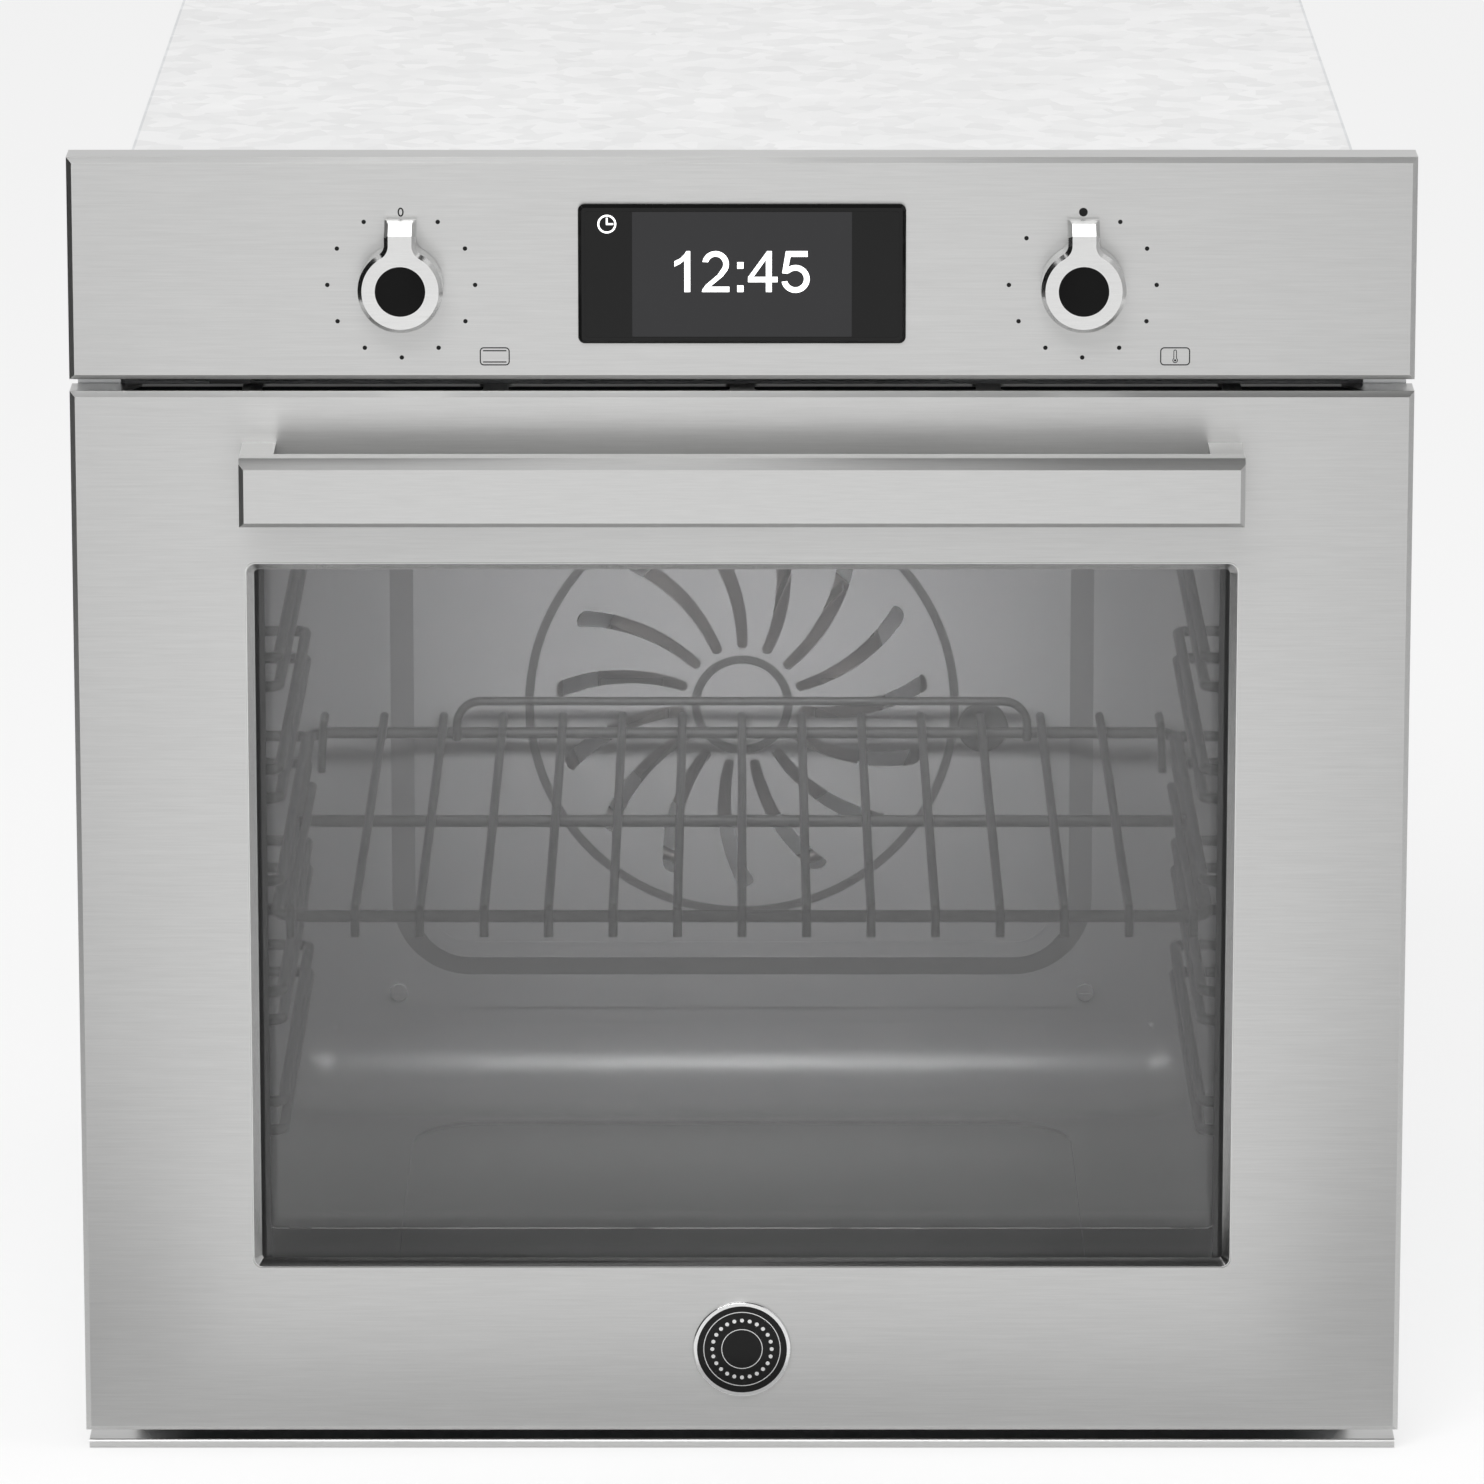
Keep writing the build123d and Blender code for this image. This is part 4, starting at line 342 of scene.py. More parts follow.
class Finish:
    """One material with its shader, and the few ways its nodes are joined."""

    def __init__(self, name, **values):
        self.material = bpy.data.materials.new(name)
        self.material.use_nodes = True
        self.tree = self.material.node_tree
        self.shader = self.tree.nodes["Principled BSDF"]
        for socket, value in values.items():
            self.shader.inputs[socket.replace("_", " ")].default_value = value

    def join(self, source, socket):
        """Feeds one of the shader's own sockets."""
        self.tree.links.new(source, self.shader.inputs[socket])

    def effect(self, name, **values):
        """One of the shared effects, with its own values."""
        node = self.tree.nodes.new("ShaderNodeGroup")
        node.node_tree = bpy.data.node_groups.get(name) or GROUP_MAKERS[name]()
        for socket, value in values.items():
            node.inputs[socket].default_value = value
        return node.outputs

    def span(self, source, low, high):
        """A value mapped from nought and one to low and high."""
        node = self.tree.nodes.new("ShaderNodeMapRange")
        node.inputs["To Min"].default_value = low
        node.inputs["To Max"].default_value = high
        self.tree.links.new(source, node.inputs["Value"])
        return node.outputs["Result"]

    def shade(self, source, base, spread):
        """The base colour made darker and lighter by a value."""
        node = self.tree.nodes.new("ShaderNodeMix")
        node.data_type = "RGBA"
        for index, factor in ((MIX_BELOW, 1.0 - spread), (MIX_TOP, 1.0 + spread)):
            node.inputs[index].default_value = (*[min(1.0, c * factor) for c in base[:3]], 1.0)
        self.tree.links.new(source, node.inputs["Factor"])
        return node.outputs[MIX_RESULT]

    def over(self, mask, below, top):
        """A plain colour laid over another one by a mask."""
        node = self.tree.nodes.new("ShaderNodeMix")
        node.data_type = "RGBA"
        node.inputs[MIX_TOP].default_value = (*top[:3], 1.0)
        self.tree.links.new(mask, node.inputs["Factor"])
        self.tree.links.new(below, node.inputs[MIX_BELOW])
        return node.outputs[MIX_RESULT]

    def bump(self, height, strength):
        """A fine relief from a value."""
        node = self.tree.nodes.new("ShaderNodeBump")
        node.inputs["Strength"].default_value = strength
        node.inputs["Distance"].default_value = BUMP_DEPTH
        self.tree.links.new(height, node.inputs["Height"])
        self.join(node.outputs["Normal"], "Normal")


def finishes():
    """The colours that the user has set."""
    return bpy.context.scene.oven_finishes


def brushed_steel(name, base, roughness, along=36.0, spread=0.11, drift=0.05, highlight_gain=1.12):
    """Steel sheet ground in one direction, with a painted highlight that makes it a little brighter along its
    edges.
    """
    made = Finish(name, Metallic=1.0, Anisotropic=0.55, Anisotropic_Rotation=0.25)
    brush = made.effect("brush_lines", Along=along)
    edge = made.effect("painted_edge_highlight")
    tone = made.shade(brush["Lines"], base, spread)
    # The edge mask lays a painted highlight over the brushed tone
    made.join(made.over(edge["Edge"], tone, [c * highlight_gain for c in base[:3]]), "Base Color")
    made.join(made.span(brush["Cloud"], roughness - drift, roughness + drift), "Roughness")
    made.bump(brush["Lines"], 0.05)
    tangent = made.tree.nodes.new("ShaderNodeTangent")
    tangent.direction_type = "RADIAL"
    tangent.axis = "Z"
    made.join(tangent.outputs["Tangent"], "Tangent")
    return made.material


def galvanised_sheet(name, base):
    """Sheet steel with a coat of zinc crystals."""
    made = Finish(name, Metallic=1.0)
    zinc = made.effect("zinc_spangle")
    grain = made.effect("surface_grain", Coarse=14.0)
    made.join(made.shade(zinc["Tone"], base, 0.05), "Base Color")
    made.join(made.span(grain["Mottle"], 0.30, 0.48), "Roughness")
    made.bump(zinc["Tone"], 0.04)
    return made.material


def vitreous_enamel(name, base, low, high, grooves=()):
    """Fired enamel, its roughness drifting between low and high, with painted shade in any round grooves."""
    made = Finish(name, Specular_IOR_Level=0.4)
    grain = made.effect("surface_grain", Fine=1800.0, Coarse=25.0)
    tone = made.shade(grain["Grain"], base, 0.02)
    for radius in grooves:
        values = {"Centre X": FAN_X, "Centre Z": FAN_Z, "Radius": radius, "Half Width": GROOVE_HALF}
        groove = made.effect("round_groove", **values)["Groove"]
        # Painted shade: the enamel is darkened inside each round groove
        tone = made.over(groove, tone, [c * GROOVE_PAINTED_SHADE for c in base[:3]])
    made.join(tone, "Base Color")
    made.join(made.span(grain["Mottle"], low, high), "Roughness")
    return made.material


def plain_coat(name, base, low, high, spread=0.1, metallic=0.0, fine=2500.0, relief=0.02, shine=0.5):
    """A coat or moulding with a fine grain, its roughness drifting between low and high."""
    made = Finish(name, Metallic=metallic, Specular_IOR_Level=shine)
    grain = made.effect("surface_grain", Fine=fine)
    made.join(made.shade(grain["Mottle"], base, spread), "Base Color")
    made.join(made.span(grain["Mottle"], low, high), "Roughness")
    made.bump(grain["Grain"], relief)
    return made.material


def clear_pane():
    """Clear float glass with a faint haze."""
    made = Finish("clear_pane", Transmission_Weight=1.0, Roughness=0.0, IOR=1.36)
    haze = made.effect("surface_grain", Coarse=9.0)
    made.join(made.shade(haze["Mottle"], finishes().glass, 0.015), "Base Color")
    return made.material


def lit_field(name, base, strength):
    """A lit part of the clock, with the faint unevenness of a backlight."""
    made = Finish(name, Roughness=0.25, Specular_IOR_Level=0.2, Emission_Strength=strength)
    grain = made.effect("surface_grain", Coarse=40.0)
    tone = made.shade(grain["Mottle"], base, 0.04)
    made.join(tone, "Base Color")
    made.join(tone, "Emission Color")
    return made.material


def dress(material, *names):
    """Gives carried-over pieces a finish."""
    for name in names:
        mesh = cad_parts[name].data
        mesh.materials.clear()
        mesh.materials.append(material)


# Flat outlines, as lists of points across and up

def arc(x, z, radius, start, end, steps=24):
    """Points on a circle, from one angle to another in degrees."""
    turns = [math.radians(start + (end - start) * i / steps) for i in range(steps + 1)]
    return [(x + radius * math.cos(t), z + radius * math.sin(t)) for t in turns]


def disc(x, z, radius, steps=32):
    """A full circle."""
    return arc(x, z, radius, 0, 360 - 360 / steps, steps - 1)


def oval(x, z, half_width, half_height, steps=32):
    """An upright ellipse."""
    return [(x + half_width * px, z + half_height * pz) for px, pz in disc(0, 0, 1, steps)]


def bar(left, right, low, high):
    """A rectangle between its four sides."""
    return [(left, low), (right, low), (right, high), (left, high)]


def rounded(x, z, width, height, radius):
    """A rectangle with round corners."""
    dx, dz = width / 2 - radius, height / 2 - radius
    corners = [(dx, dz, 0), (-dx, dz, 90), (-dx, -dz, 180), (dx, -dz, 270)]
    return [p for cx, cz, a in corners for p in arc(x + cx, z + cz, radius, a, a + 90, 6)]


def bulb(x, z, radius, half_stem, top):
    """A thermometer's outline: a round bulb under a stem with a round end."""
    lean = math.degrees(math.asin(half_stem / radius))
    return arc(x, z, radius, 90 + lean, 450 - lean) + arc(x, z + top, half_stem, 0, 180, 10)


def plates(name, shapes, face, thickness, material, body="chassis"):
    """A piece made of thin plates that stand on a front face, each an outline and its holes."""
    mesh = bpy.data.meshes.new(name)
    work = bmesh.new()
    for loops in shapes:
        edges = []
        for loop in loops:
            corners = [work.verts.new((x, face, z)) for x, z in loop]
            edges += [work.edges.new((a, b)) for a, b in zip(corners, corners[1:] + corners[:1])]
        made = bmesh.ops.triangle_fill(work, edges=edges, use_beauty=True, normal=(0, -1, 0))
        flat = [g for g in made["geom"] if isinstance(g, bmesh.types.BMFace)]
        grown = bmesh.ops.extrude_face_region(work, geom=flat)
        raised = [g for g in grown["geom"] if isinstance(g, bmesh.types.BMVert)]
        bmesh.ops.translate(work, verts=raised, vec=(0, -thickness, 0))
    bmesh.ops.recalc_face_normals(work, faces=work.faces)
    work.to_mesh(mesh)
    work.free()
    mesh.materials.append(material)
    piece = bpy.data.objects.new(name, mesh)
    bpy.context.scene.collection.objects.link(piece)
    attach(piece, body)


# Clock digits with their widths, in hundredths of the digit height from the lower left corner

def digit_one():
    stem = [(24, 0), (38, 0), (38, 100), (29, 100)]
    flag = [(24, 92), (14, 82), (0, 75), (0, 62), (12, 68), (24, 77)]
    return [stem + flag], 38


def digit_two():
    bowl = arc(33, 68, 32, 170, -30, 20)
    inside = arc(33, 68, 18.5, -35, 165, 20)
    foot = [(50, 38), (20, 13), (66, 13), (66, 0), (0, 0), (2, 7), (10, 18), (38, 42)]
    return [bowl + foot + inside], 66


def digit_four():
    right = [(43, 0), (57, 0), (57, 24), (71, 24), (71, 37), (57, 37), (57, 100)]
    left = [(46, 100), (0, 36), (0, 24), (43, 24)]
    eye = [(43, 37), (13, 37), (43, 79)]
    return [right + left, eye], 71


def digit_five():
    bowl = arc(34, 32, 34, 192, 480, 28)
    inside = arc(34, 32, 20.5, 490, 195, 28)
    top = [(63, 100), (11, 100), (2, 46), (15, 45)]
    return [top + inside + bowl + [(22, 86), (63, 86)]], 68


def colon():
    """The two square dots, each as a sign of its own."""
    return ([bar(0, 15, 57, 73)], 15), ([bar(0, 15, 0, 16)], 15)


class OVEN_OT_steel_front(bpy.types.Operator):
    """Brushed steel on the fascia, the door, the handle and the sill"""
    bl_idname = "oven.steel_front"
    bl_label = "Steel front"

    def execute(self, context):
        look = finishes()
        sheet = brushed_steel("brushed_sheet", look.steel, look.steel_roughness)
        dress(sheet, "control_panel", "door_skin", "bottom_trim")
        grip = brushed_steel("brushed_bar", look.steel, look.steel_roughness - 0.04, 50.0)
        dress(grip, "handle_bar", "handle_posts")
        dress(brushed_steel("window_bezel", look.steel, 0.18), "window_frame")
        return {"FINISHED"}


class OVEN_OT_carcass(bpy.types.Operator):
    """Galvanised sheet on the carcass and its ducts"""
    bl_idname = "oven.carcass"
    bl_label = "Carcass"

    def execute(self, context):
        look = finishes()
        sheet = galvanised_sheet("galvanised_sheet", look.galvanised)
        dress(sheet, "base_plate", "side_panel_right", "side_panel_left", "rear_cover", "upper_deck",
              "fan_chamber", "blower_housing", "lamp_holder")
        # The top cover gets a brighter copy of the galvanised sheet, painted light that blends it into the
        # backdrop
        dress(galvanised_sheet("cover_sheet_painted_light", look.cover_zinc_painted_light), "top_cover")
        screws = plain_coat("zinc_screws", look.chrome, 0.25, 0.4, 0.08, metallic=1.0)
        dress(screws, "rear_cover_screws", "fan_cover_screws", "handle_screws", "hinge_pins", "fan_shaft",
              "selector_shaft", "temperature_shaft")
        return {"FINISHED"}


class OVEN_OT_cavity(bpy.types.Operator):
    """Enamel in the cavity, and the racks and heating tubes in it"""
    bl_idname = "oven.cavity"
    bl_label = "Cavity"

    def execute(self, context):
        look = finishes()
        dress(vitreous_enamel("cavity_enamel", look.enamel, 0.26, 0.38), "oven_cavity")
        dress(vitreous_enamel("fan_cover_enamel", look.enamel, 0.30, 0.42, COVER_GROOVES), "fan_cover")
        dress(vitreous_enamel("frame_enamel", look.frame_enamel, 0.25, 0.4), "front_frame")
        wire = plain_coat("enamelled_wire", look.wire, 0.48, 0.62, 0.15, shine=0.25)
        dress(wire, "side_rack_right", "side_rack_left", "wire_rack", "probe_socket")
        tube = plain_coat("heating_tube", look.tube, 0.35, 0.55, 0.25, metallic=1.0)
        dress(tube, "grill_element", "bottom_element", "ring_element", "convection_fan")
        braid = plain_coat("gasket_braid", look.rubber, 0.7, 0.9, 0.3, fine=900.0, relief=0.4)
        dress(braid, "door_gasket")
        wool = plain_coat("mineral_wool", look.wool, 0.85, 0.95, 0.3, fine=700.0, relief=0.8)
        dress(wool, "cavity_insulation")
        return {"FINISHED"}


class OVEN_OT_glazing(bpy.types.Operator):
    """The three panes of the door and the lamp's lens"""
    bl_idname = "oven.glazing"
    bl_label = "Glazing"

    def execute(self, context):
        dress(clear_pane(), "outer_glass", "middle_glass", "inner_glass", "lamp_lens")
        lacquer = plain_coat("black_lacquer", finishes().lacquer, 0.35, 0.5)
        dress(lacquer, "door_pillars", "door_top_rail", "door_bottom_rail", "hinge_arms", "hinge_brackets",
              "lock_tongue")
        return {"FINISHED"}


class OVEN_OT_glass_border(bpy.types.Operator):
    """Black border printed on the back of the outer pane, at its two upright edges"""
    bl_idname = "oven.glass_border"
    bl_label = "Glass border"

    def execute(self, context):
        marks = context.scene.oven_marks
        middle = (PANE_LOW.x + PANE_HIGH.x) / 2
        strips = []
        for side in (-1, 1):
            near = middle + side * marks.border_inside / 2
            far = middle + side * marks.border_outside / 2
            strips.append([bar(near, far, PANE_LOW.z, PANE_HIGH.z)])
        print_black = plain_coat("fired_print", finishes().ink, 0.5, 0.65)
        plates("glass_border", strips, PANE_HIGH.y + 2 * marks.print_depth, marks.print_depth, print_black,
               "door")
        return {"FINISHED"}


class OVEN_OT_controls(bpy.types.Operator):
    """Knobs, clock housing and badge"""
    bl_idname = "oven.controls"
    bl_label = "Controls"

    def execute(self, context):
        look = finishes()
        dress(brushed_steel("knob_metal", look.knob, 0.16, 60.0), "selector_knob", "temperature_knob")
        gloss = plain_coat("gloss_black", look.gloss_black, 0.06, 0.14, shine=0.2)
        dress(gloss, "display_housing", "display_glass", "badge_disc")
        satin = plain_coat("satin_black", look.gloss_black, 0.30, 0.42, shine=0.06)
        dress(satin, "selector_cap", "temperature_cap")
        dress(plain_coat("polished_chrome", look.chrome, 0.05, 0.12, 0.03, metallic=1.0), "badge_ring")
        return {"FINISHED"}


class OVEN_OT_works(bpy.types.Operator):
    """Motors, board, switches, lock and terminals"""
    bl_idname = "oven.works"
    bl_label = "Works"

    def execute(self, context):
        look = finishes()
        dress(plain_coat("motor_steel", look.tube, 0.35, 0.5, 0.2, metallic=0.8), "fan_motor", "blower_motor")
        plastic = plain_coat("moulded_plastic", look.plastic, 0.45, 0.6)
        dress(plastic, "control_switches", "door_lock", "terminal_block", "blower_wheel")
        dress(plain_coat("solder_mask", look.board, 0.3, 0.45, 0.2), "control_board")
        return {"FINISHED"}


class OVEN_OT_dial_marks(bpy.types.Operator):
    """Dots, nought and pictograms printed round the two knobs"""
    bl_idname = "oven.dial_marks"
    bl_label = "Dial marks"

    def dots(self, marks, x, angles):
        """Small dots round a knob, at angles from the top."""
        shapes = []
        for angle in angles:
            turn = math.radians(angle)
            across = x + marks.ring_radius * math.sin(turn)
            up = KNOB_Z + marks.ring_radius * math.cos(turn)
            shapes.append([disc(across, up, marks.dot / 2, 20)])
        return shapes

    def icon_frame(self, marks, x, z):
        """The rounded outline of a pictogram."""
        inside = 2 * marks.line
        radius = marks.icon_height * 0.22
        return [rounded(x, z, marks.icon_width, marks.icon_height, radius),
                rounded(x, z, marks.icon_width - inside, marks.icon_height - inside, radius - marks.line)]

    def execute(self, context):
        marks = context.scene.oven_marks
        ink = plain_coat("printed_ink", finishes().ink, 0.4, 0.55, shine=0.1)
        face, depth, line = PANEL_FACE, marks.print_depth, marks.line
        top = KNOB_Z + marks.ring_radius
        icon_z = KNOB_Z - marks.icon_below

        steps = self.dots(marks, SELECTOR_X, range(30, 360, 30))
        plates("selector_dots", steps, face, depth, ink)
        tall = marks.zero_height / 2
        wide = tall * 0.66
        stroke = 1.3 * line
        nought = [[oval(SELECTOR_X, top, wide, tall), oval(SELECTOR_X, top, wide - stroke, tall - stroke)]]
        plates("selector_nought", nought, face, depth, ink)
        icon_x = SELECTOR_X + marks.icon_aside
        bar_half = marks.icon_width * 0.39
        heat = [self.icon_frame(marks, icon_x, icon_z)]
        for side in (-1, 1):
            z = icon_z + side * marks.icon_height * 0.31
            heat.append([bar(icon_x - bar_half, icon_x + bar_half, z - line / 2, z + line / 2)])
        plates("selector_pictogram", heat, face, depth, ink)

        scale = self.dots(marks, TEMPERATURE_X, [*range(30, 181, 30), -150, -120, -90, -50])
        scale.append([disc(TEMPERATURE_X, top, marks.start_dot / 2, 28)])
        plates("temperature_dots", scale, face, depth, ink)
        icon_x = TEMPERATURE_X + marks.icon_aside
        low = icon_z - marks.icon_height * 0.22
        stem = marks.icon_height * 0.5
        outer = bulb(icon_x, low, marks.bulb_radius, marks.bulb_stem, stem)
        wall = marks.bulb_wall
        inner = bulb(icon_x, low, marks.bulb_radius - wall, marks.bulb_stem - wall, stem)
        core = disc(icon_x, low, marks.bulb_core, 16)
        heat = [self.icon_frame(marks, icon_x, icon_z), [outer, inner], [core]]
        plates("temperature_pictogram", heat, face, depth, ink)
        return {"FINISHED"}


class OVEN_OT_clock_face(bpy.types.Operator):
    """Lit field, digits and clock sign on the display"""
    bl_idname = "oven.clock_face"
    bl_label = "Clock face"

    def execute(self, context):
        marks = context.scene.oven_marks
        look = finishes()
        depth = marks.print_depth
        face = GLASS_LOW.y
        field = rounded(DISPLAY_X, DISPLAY_Z, marks.screen_width, marks.screen_height, marks.screen_corner)
        screen = lit_field("screen_glow", look.screen, 0.35)
        plates("screen_field", [[field]], face, depth, screen)

        glow = lit_field("digit_glow", look.digits, 1.0)
        unit = marks.digit_height / 100
        upper, lower = colon()
        row = [(digit_one(), 0), (digit_two(), 66), (upper, 151), (lower, 151), (digit_four(), 177),
               (digit_five(), 257)]
        (_, last_width), last_start = row[-1]
        left = DISPLAY_X - (last_start + last_width) * unit / 2
        base = DISPLAY_Z - marks.digit_height / 2 + marks.digit_raise
        shapes = [[[(left + (start + x) * unit, base + z * unit) for x, z in loop] for loop in loops]
                  for (loops, _), start in row]
        plates("clock_digits", shapes, face - depth, depth, glow)

        radius = marks.clock_radius
        stroke = radius * 0.19
        x = DISPLAY_X - marks.clock_aside
        z = DISPLAY_Z + marks.clock_above
        reach = radius * 0.68
        half = stroke / 2
        hands = [(x - half, z - half), (x + reach, z - half), (x + reach, z + half), (x + half, z + half),
                 (x + half, z + reach), (x - half, z + reach)]
        sign = [[disc(x, z, radius, 48), disc(x, z, radius - stroke, 48)], [hands]]
        plates("clock_sign", sign, face, depth, glow)
        return {"FINISHED"}


class OVEN_OT_badge_ornament(bpy.types.Operator):
    """Plain rings and a circle of beads on the round plate under the window"""
    bl_idname = "oven.badge_ornament"
    bl_label = "Badge ornament"

    beads: IntProperty(name="Beads", description="Beads in the circle", default=24, min=3)

    def execute(self, context):
        marks = context.scene.oven_marks
        metal = plain_coat("engraved_metal", finishes().chrome, 0.2, 0.3, 0.05, metallic=1.0)
        x = (BADGE_LOW.x + BADGE_HIGH.x) / 2
        z = (BADGE_LOW.z + BADGE_HIGH.z) / 2
        radius = (BADGE_HIGH.x - BADGE_LOW.x) / 2
        line = marks.badge_line
        shapes = [[disc(x, z, r, 64), disc(x, z, r - line, 64)] for r in (radius * 0.86, radius * 0.46)]
        ring = radius * 0.66
        for i in range(self.beads):
            turn = 2 * math.pi * i / self.beads
            shapes.append([disc(x + ring * math.sin(turn), z + ring * math.cos(turn), radius * 0.045, 12)])
        plates("badge_ornament", shapes, BADGE_LOW.y, marks.badge_relief, metal, "door")
        return {"FINISHED"}


class OVEN_OT_studio(bpy.types.Operator):
    """Pale floor, soft lamps and the camera"""
    bl_idname = "oven.studio"
    bl_label = "Studio"

    def backdrop_factor(self, tree, seen, mirrored):
        """How much a ray from the eye or a pane, or one from a mirror, sees the plain backdrop."""
        path = tree.nodes.new("ShaderNodeLightPath")
        shares = {"Is Camera Ray": seen, "Is Transmission Ray": seen, "Is Glossy Ray": mirrored}
        total = None
        for name, amount in shares.items():
            part = tree.nodes.new("ShaderNodeMath")
            part.operation = "MULTIPLY"
            part.inputs[1].default_value = amount
            tree.links.new(path.outputs[name], part.inputs[0])
            if total is None:
                total = part.outputs["Value"]
                continue
            join = tree.nodes.new("ShaderNodeMath")
            join.operation = "MAXIMUM"
            tree.links.new(total, join.inputs[0])
            tree.links.new(part.outputs["Value"], join.inputs[1])
            total = join.outputs["Value"]
        return total

    def make_floor(self, studio):
        """A wide pale floor under the oven."""
        mesh = bpy.data.meshes.new("studio_floor")
        corners = bar(-FLOOR_REACH, FLOOR_REACH, -FLOOR_REACH, FLOOR_REACH)
        mesh.from_pydata([(x, y, 0) for x, y in corners], [], [(0, 1, 2, 3)])
        floor = bpy.data.objects.new("studio_floor", mesh)
        floor.location.z = CAD_LOW.z - FLOOR_GAP
        bpy.context.scene.collection.objects.link(floor)
        made = Finish("studio_floor", Roughness=0.9, Specular_IOR_Level=0.1)
        grain = made.effect("surface_grain", Fine=30.0, Coarse=0.7)
        made.join(made.shade(grain["Mottle"], studio.floor, 0.01), "Base Color")
        white = made.tree.nodes.new("ShaderNodeEmission")
        mixed = made.tree.nodes.new("ShaderNodeMixShader")
        links = made.tree.links
        links.new(self.backdrop_factor(made.tree, FLOOR_SEEN, FLOOR_MIRRORED), mixed.inputs["Fac"])
        links.new(made.shader.outputs["BSDF"], mixed.inputs[1])
        links.new(white.outputs["Emission"], mixed.inputs[2])
        links.new(mixed.outputs["Shader"], made.tree.nodes["Material Output"].inputs["Surface"])
        mesh.materials.append(made.material)

    def make_sky(self, studio):
        """Even light from all round, plain white where the eye or a mirror sees it."""
        world = bpy.data.worlds.new("studio_sky")
        bpy.context.scene.world = world
        world.use_nodes = True
        tree = world.node_tree
        even = tree.nodes["Background"]
        even.inputs["Strength"].default_value = studio.sky
        even.inputs["Color"].default_value = (1.0, 1.0, 1.0, 1.0)
        white = tree.nodes.new("ShaderNodeBackground")
        mixed = tree.nodes.new("ShaderNodeMixShader")
        tree.links.new(self.backdrop_factor(tree, SKY_SEEN, SKY_SEEN), mixed.inputs["Fac"])
        tree.links.new(even.outputs["Background"], mixed.inputs[1])
        tree.links.new(white.outputs["Background"], mixed.inputs[2])
        tree.links.new(mixed.outputs["Shader"], tree.nodes["World Output"].inputs["Surface"])

    def make_card(self, name, corners, tone, glow=0.0):
        """A dark or lit card that only mirrors see, so that edges and bevels stand out."""
        mesh = bpy.data.meshes.new(name)
        mesh.from_pydata(corners, [], [(0, 1, 2, 3)])
        card = bpy.data.objects.new(name, mesh)
        bpy.context.scene.collection.objects.link(card)
        for ray in ("camera", "diffuse", "transmission", "volume_scatter", "shadow"):
            setattr(card, "visible_" + ray, False)
        coat = plain_coat(name, (tone, tone, tone), 0.9, 1.0, shine=0.0)
        shader = coat.node_tree.nodes["Principled BSDF"]
        shader.inputs["Emission Color"].default_value = (1.0, 1.0, 1.0, 1.0)
        shader.inputs["Emission Strength"].default_value = glow
        mesh.materials.append(coat)

    def make_cards(self):
        """Cards at both sides, above, and on the floor round the bright stretch in front of the door; those
        on the floor are painted shade of the floor near the oven, seen in the door's reflection.
        """
        for name, side, place, tone in SIDE_CARDS:
            upright = bar(SIDE_CARD_NEAR, SIDE_CARD_FAR, 0, SIDE_CARD_TOP)
            self.make_card(name + "_card", [(side * place, y, z) for y, z in upright], tone)
            # The floor cards and the foot card are painted shade of the floor, seen only in reflections
            beside = [(side * x, y, CARD_LIFT) for x, y in FLOOR_SHADE_CARD]
            self.make_card(name + "_floor_shade_card", beside, FLOOR_CARD_TONE)
        self.make_card("foot_shade_card", [(x, y, 2 * CARD_LIFT) for x, y in FOOT_SHADE_CARD], FOOT_CARD_TONE)
        for name, near, far, tone, glow in CEILING_CARDS:
            above = bar(-CEILING_HALF, CEILING_HALF, near, far)
            self.make_card(name, [(x, y, CEILING_HEIGHT) for x, y in above], tone, glow)

    def lamp(self, name, place, aim, size, power, spread=180):
        """An area lamp that looks at a point, with its spread in degrees."""
        light = bpy.data.lights.new(name, "AREA")
        light.shape = "RECTANGLE"
        light.size, light.size_y = size
        light.energy = power
        light.spread = math.radians(spread)
        made = bpy.data.objects.new(name, light)
        made.location = place
        made.rotation_euler = (Vector(aim) - Vector(place)).to_track_quat("-Z", "Y").to_euler()
        bpy.context.scene.collection.objects.link(made)

    def execute(self, context):
        studio = context.scene.oven_studio
        self.make_floor(studio)
        self.make_sky(studio)
        self.make_cards()
        self.lamp("key_lamp", KEY_PLACE, STUDIO_AIM, KEY_SIZE, studio.key)
        self.lamp("side_lamp", SIDE_PLACE, STUDIO_AIM, SIDE_SIZE, studio.side)
        inside = (0, CAVITY_LOW.y + OVEN_LAMP_INSET, CAVITY_HIGH.z - OVEN_LAMP_DROP)
        fan = (FAN_X, COVER_LOW.y, FAN_Z)
        self.lamp("oven_lamp", inside, fan, OVEN_LAMP_SIZE, studio.inside, OVEN_LAMP_SPREAD)
        self.aim_camera(context, studio)
        context.scene.view_settings.view_transform = "Standard"
        return {"FINISHED"}

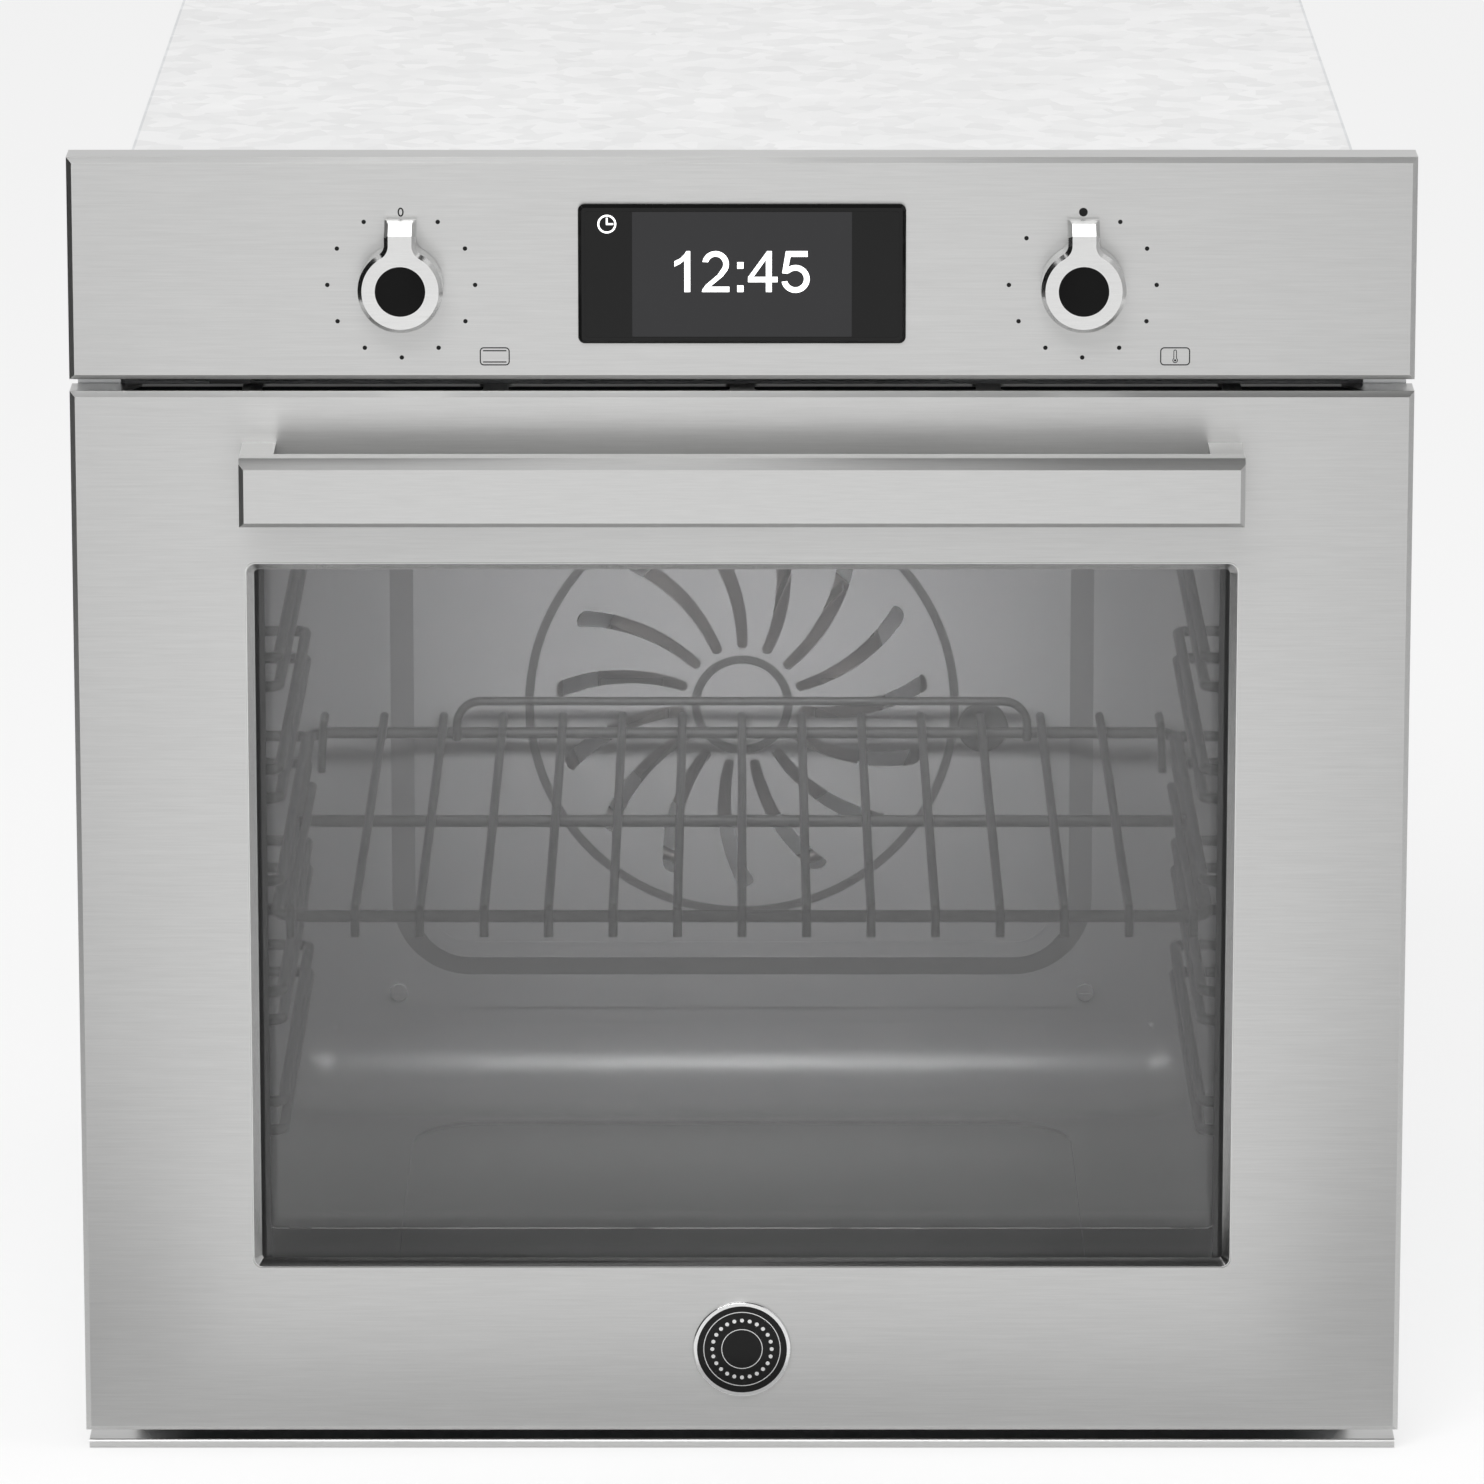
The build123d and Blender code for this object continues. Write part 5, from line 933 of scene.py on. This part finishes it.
    def aim_camera(self, context, studio):
        """A camera straight in front, looking down at the photo's angle."""
        camera = bpy.data.cameras.new("camera")
        camera.sensor_width = 36.0
        camera.lens = camera.sensor_width * studio.distance / studio.frame_width
        camera.clip_end = 200.0
        eye = bpy.data.objects.new("camera", camera)
        aim = Vector((0, PANEL_FACE, studio.aim))
        back = Vector((0, -math.cos(studio.elevation), math.sin(studio.elevation)))
        eye.location = aim + back * studio.distance
        eye.rotation_euler = (-back).to_track_quat("-Z", "Y").to_euler()
        context.scene.collection.objects.link(eye)
        context.scene.camera = eye


OPERATORS = (OVEN_OT_steel_front, OVEN_OT_carcass, OVEN_OT_cavity, OVEN_OT_glazing, OVEN_OT_glass_border,
             OVEN_OT_controls, OVEN_OT_works, OVEN_OT_dial_marks, OVEN_OT_clock_face, OVEN_OT_badge_ornament,
             OVEN_OT_studio)


class OVEN_PT_dresser(bpy.types.Panel):
    """Sidebar panel with the sizes, the colours and the steps"""
    bl_idname = "OVEN_PT_dresser"
    bl_label = "Built-in oven"
    bl_space_type = "VIEW_3D"
    bl_region_type = "UI"
    bl_category = "Oven"

    def draw(self, context):
        for settings in (context.scene.oven_finishes, context.scene.oven_marks, context.scene.oven_studio):
            box = self.layout.box()
            for name in settings.bl_rna.properties.keys():
                if name not in ("rna_type", "name"):
                    box.prop(settings, name)
        for step in OPERATORS:
            self.layout.operator(step.bl_idname)


CLASSES = (OvenFinishes, OvenMarks, OvenStudio, *OPERATORS, OVEN_PT_dresser)


def register():
    for kind in CLASSES:
        bpy.utils.register_class(kind)
    bpy.types.Scene.oven_finishes = PointerProperty(type=OvenFinishes)
    bpy.types.Scene.oven_marks = PointerProperty(type=OvenMarks)
    bpy.types.Scene.oven_studio = PointerProperty(type=OvenStudio)


def unregister():
    for name in ("oven_finishes", "oven_marks", "oven_studio"):
        delattr(bpy.types.Scene, name)
    for kind in reversed(CLASSES):
        bpy.utils.unregister_class(kind)


def main():
    register()
    bpy.ops.oven.steel_front()
    bpy.ops.oven.carcass()
    bpy.ops.oven.cavity()
    bpy.ops.oven.glazing()
    bpy.ops.oven.glass_border()
    bpy.ops.oven.controls()
    bpy.ops.oven.works()
    bpy.ops.oven.dial_marks()
    bpy.ops.oven.clock_face()
    bpy.ops.oven.badge_ornament()
    bpy.ops.oven.studio()


if __name__ == "__main__":
    main()
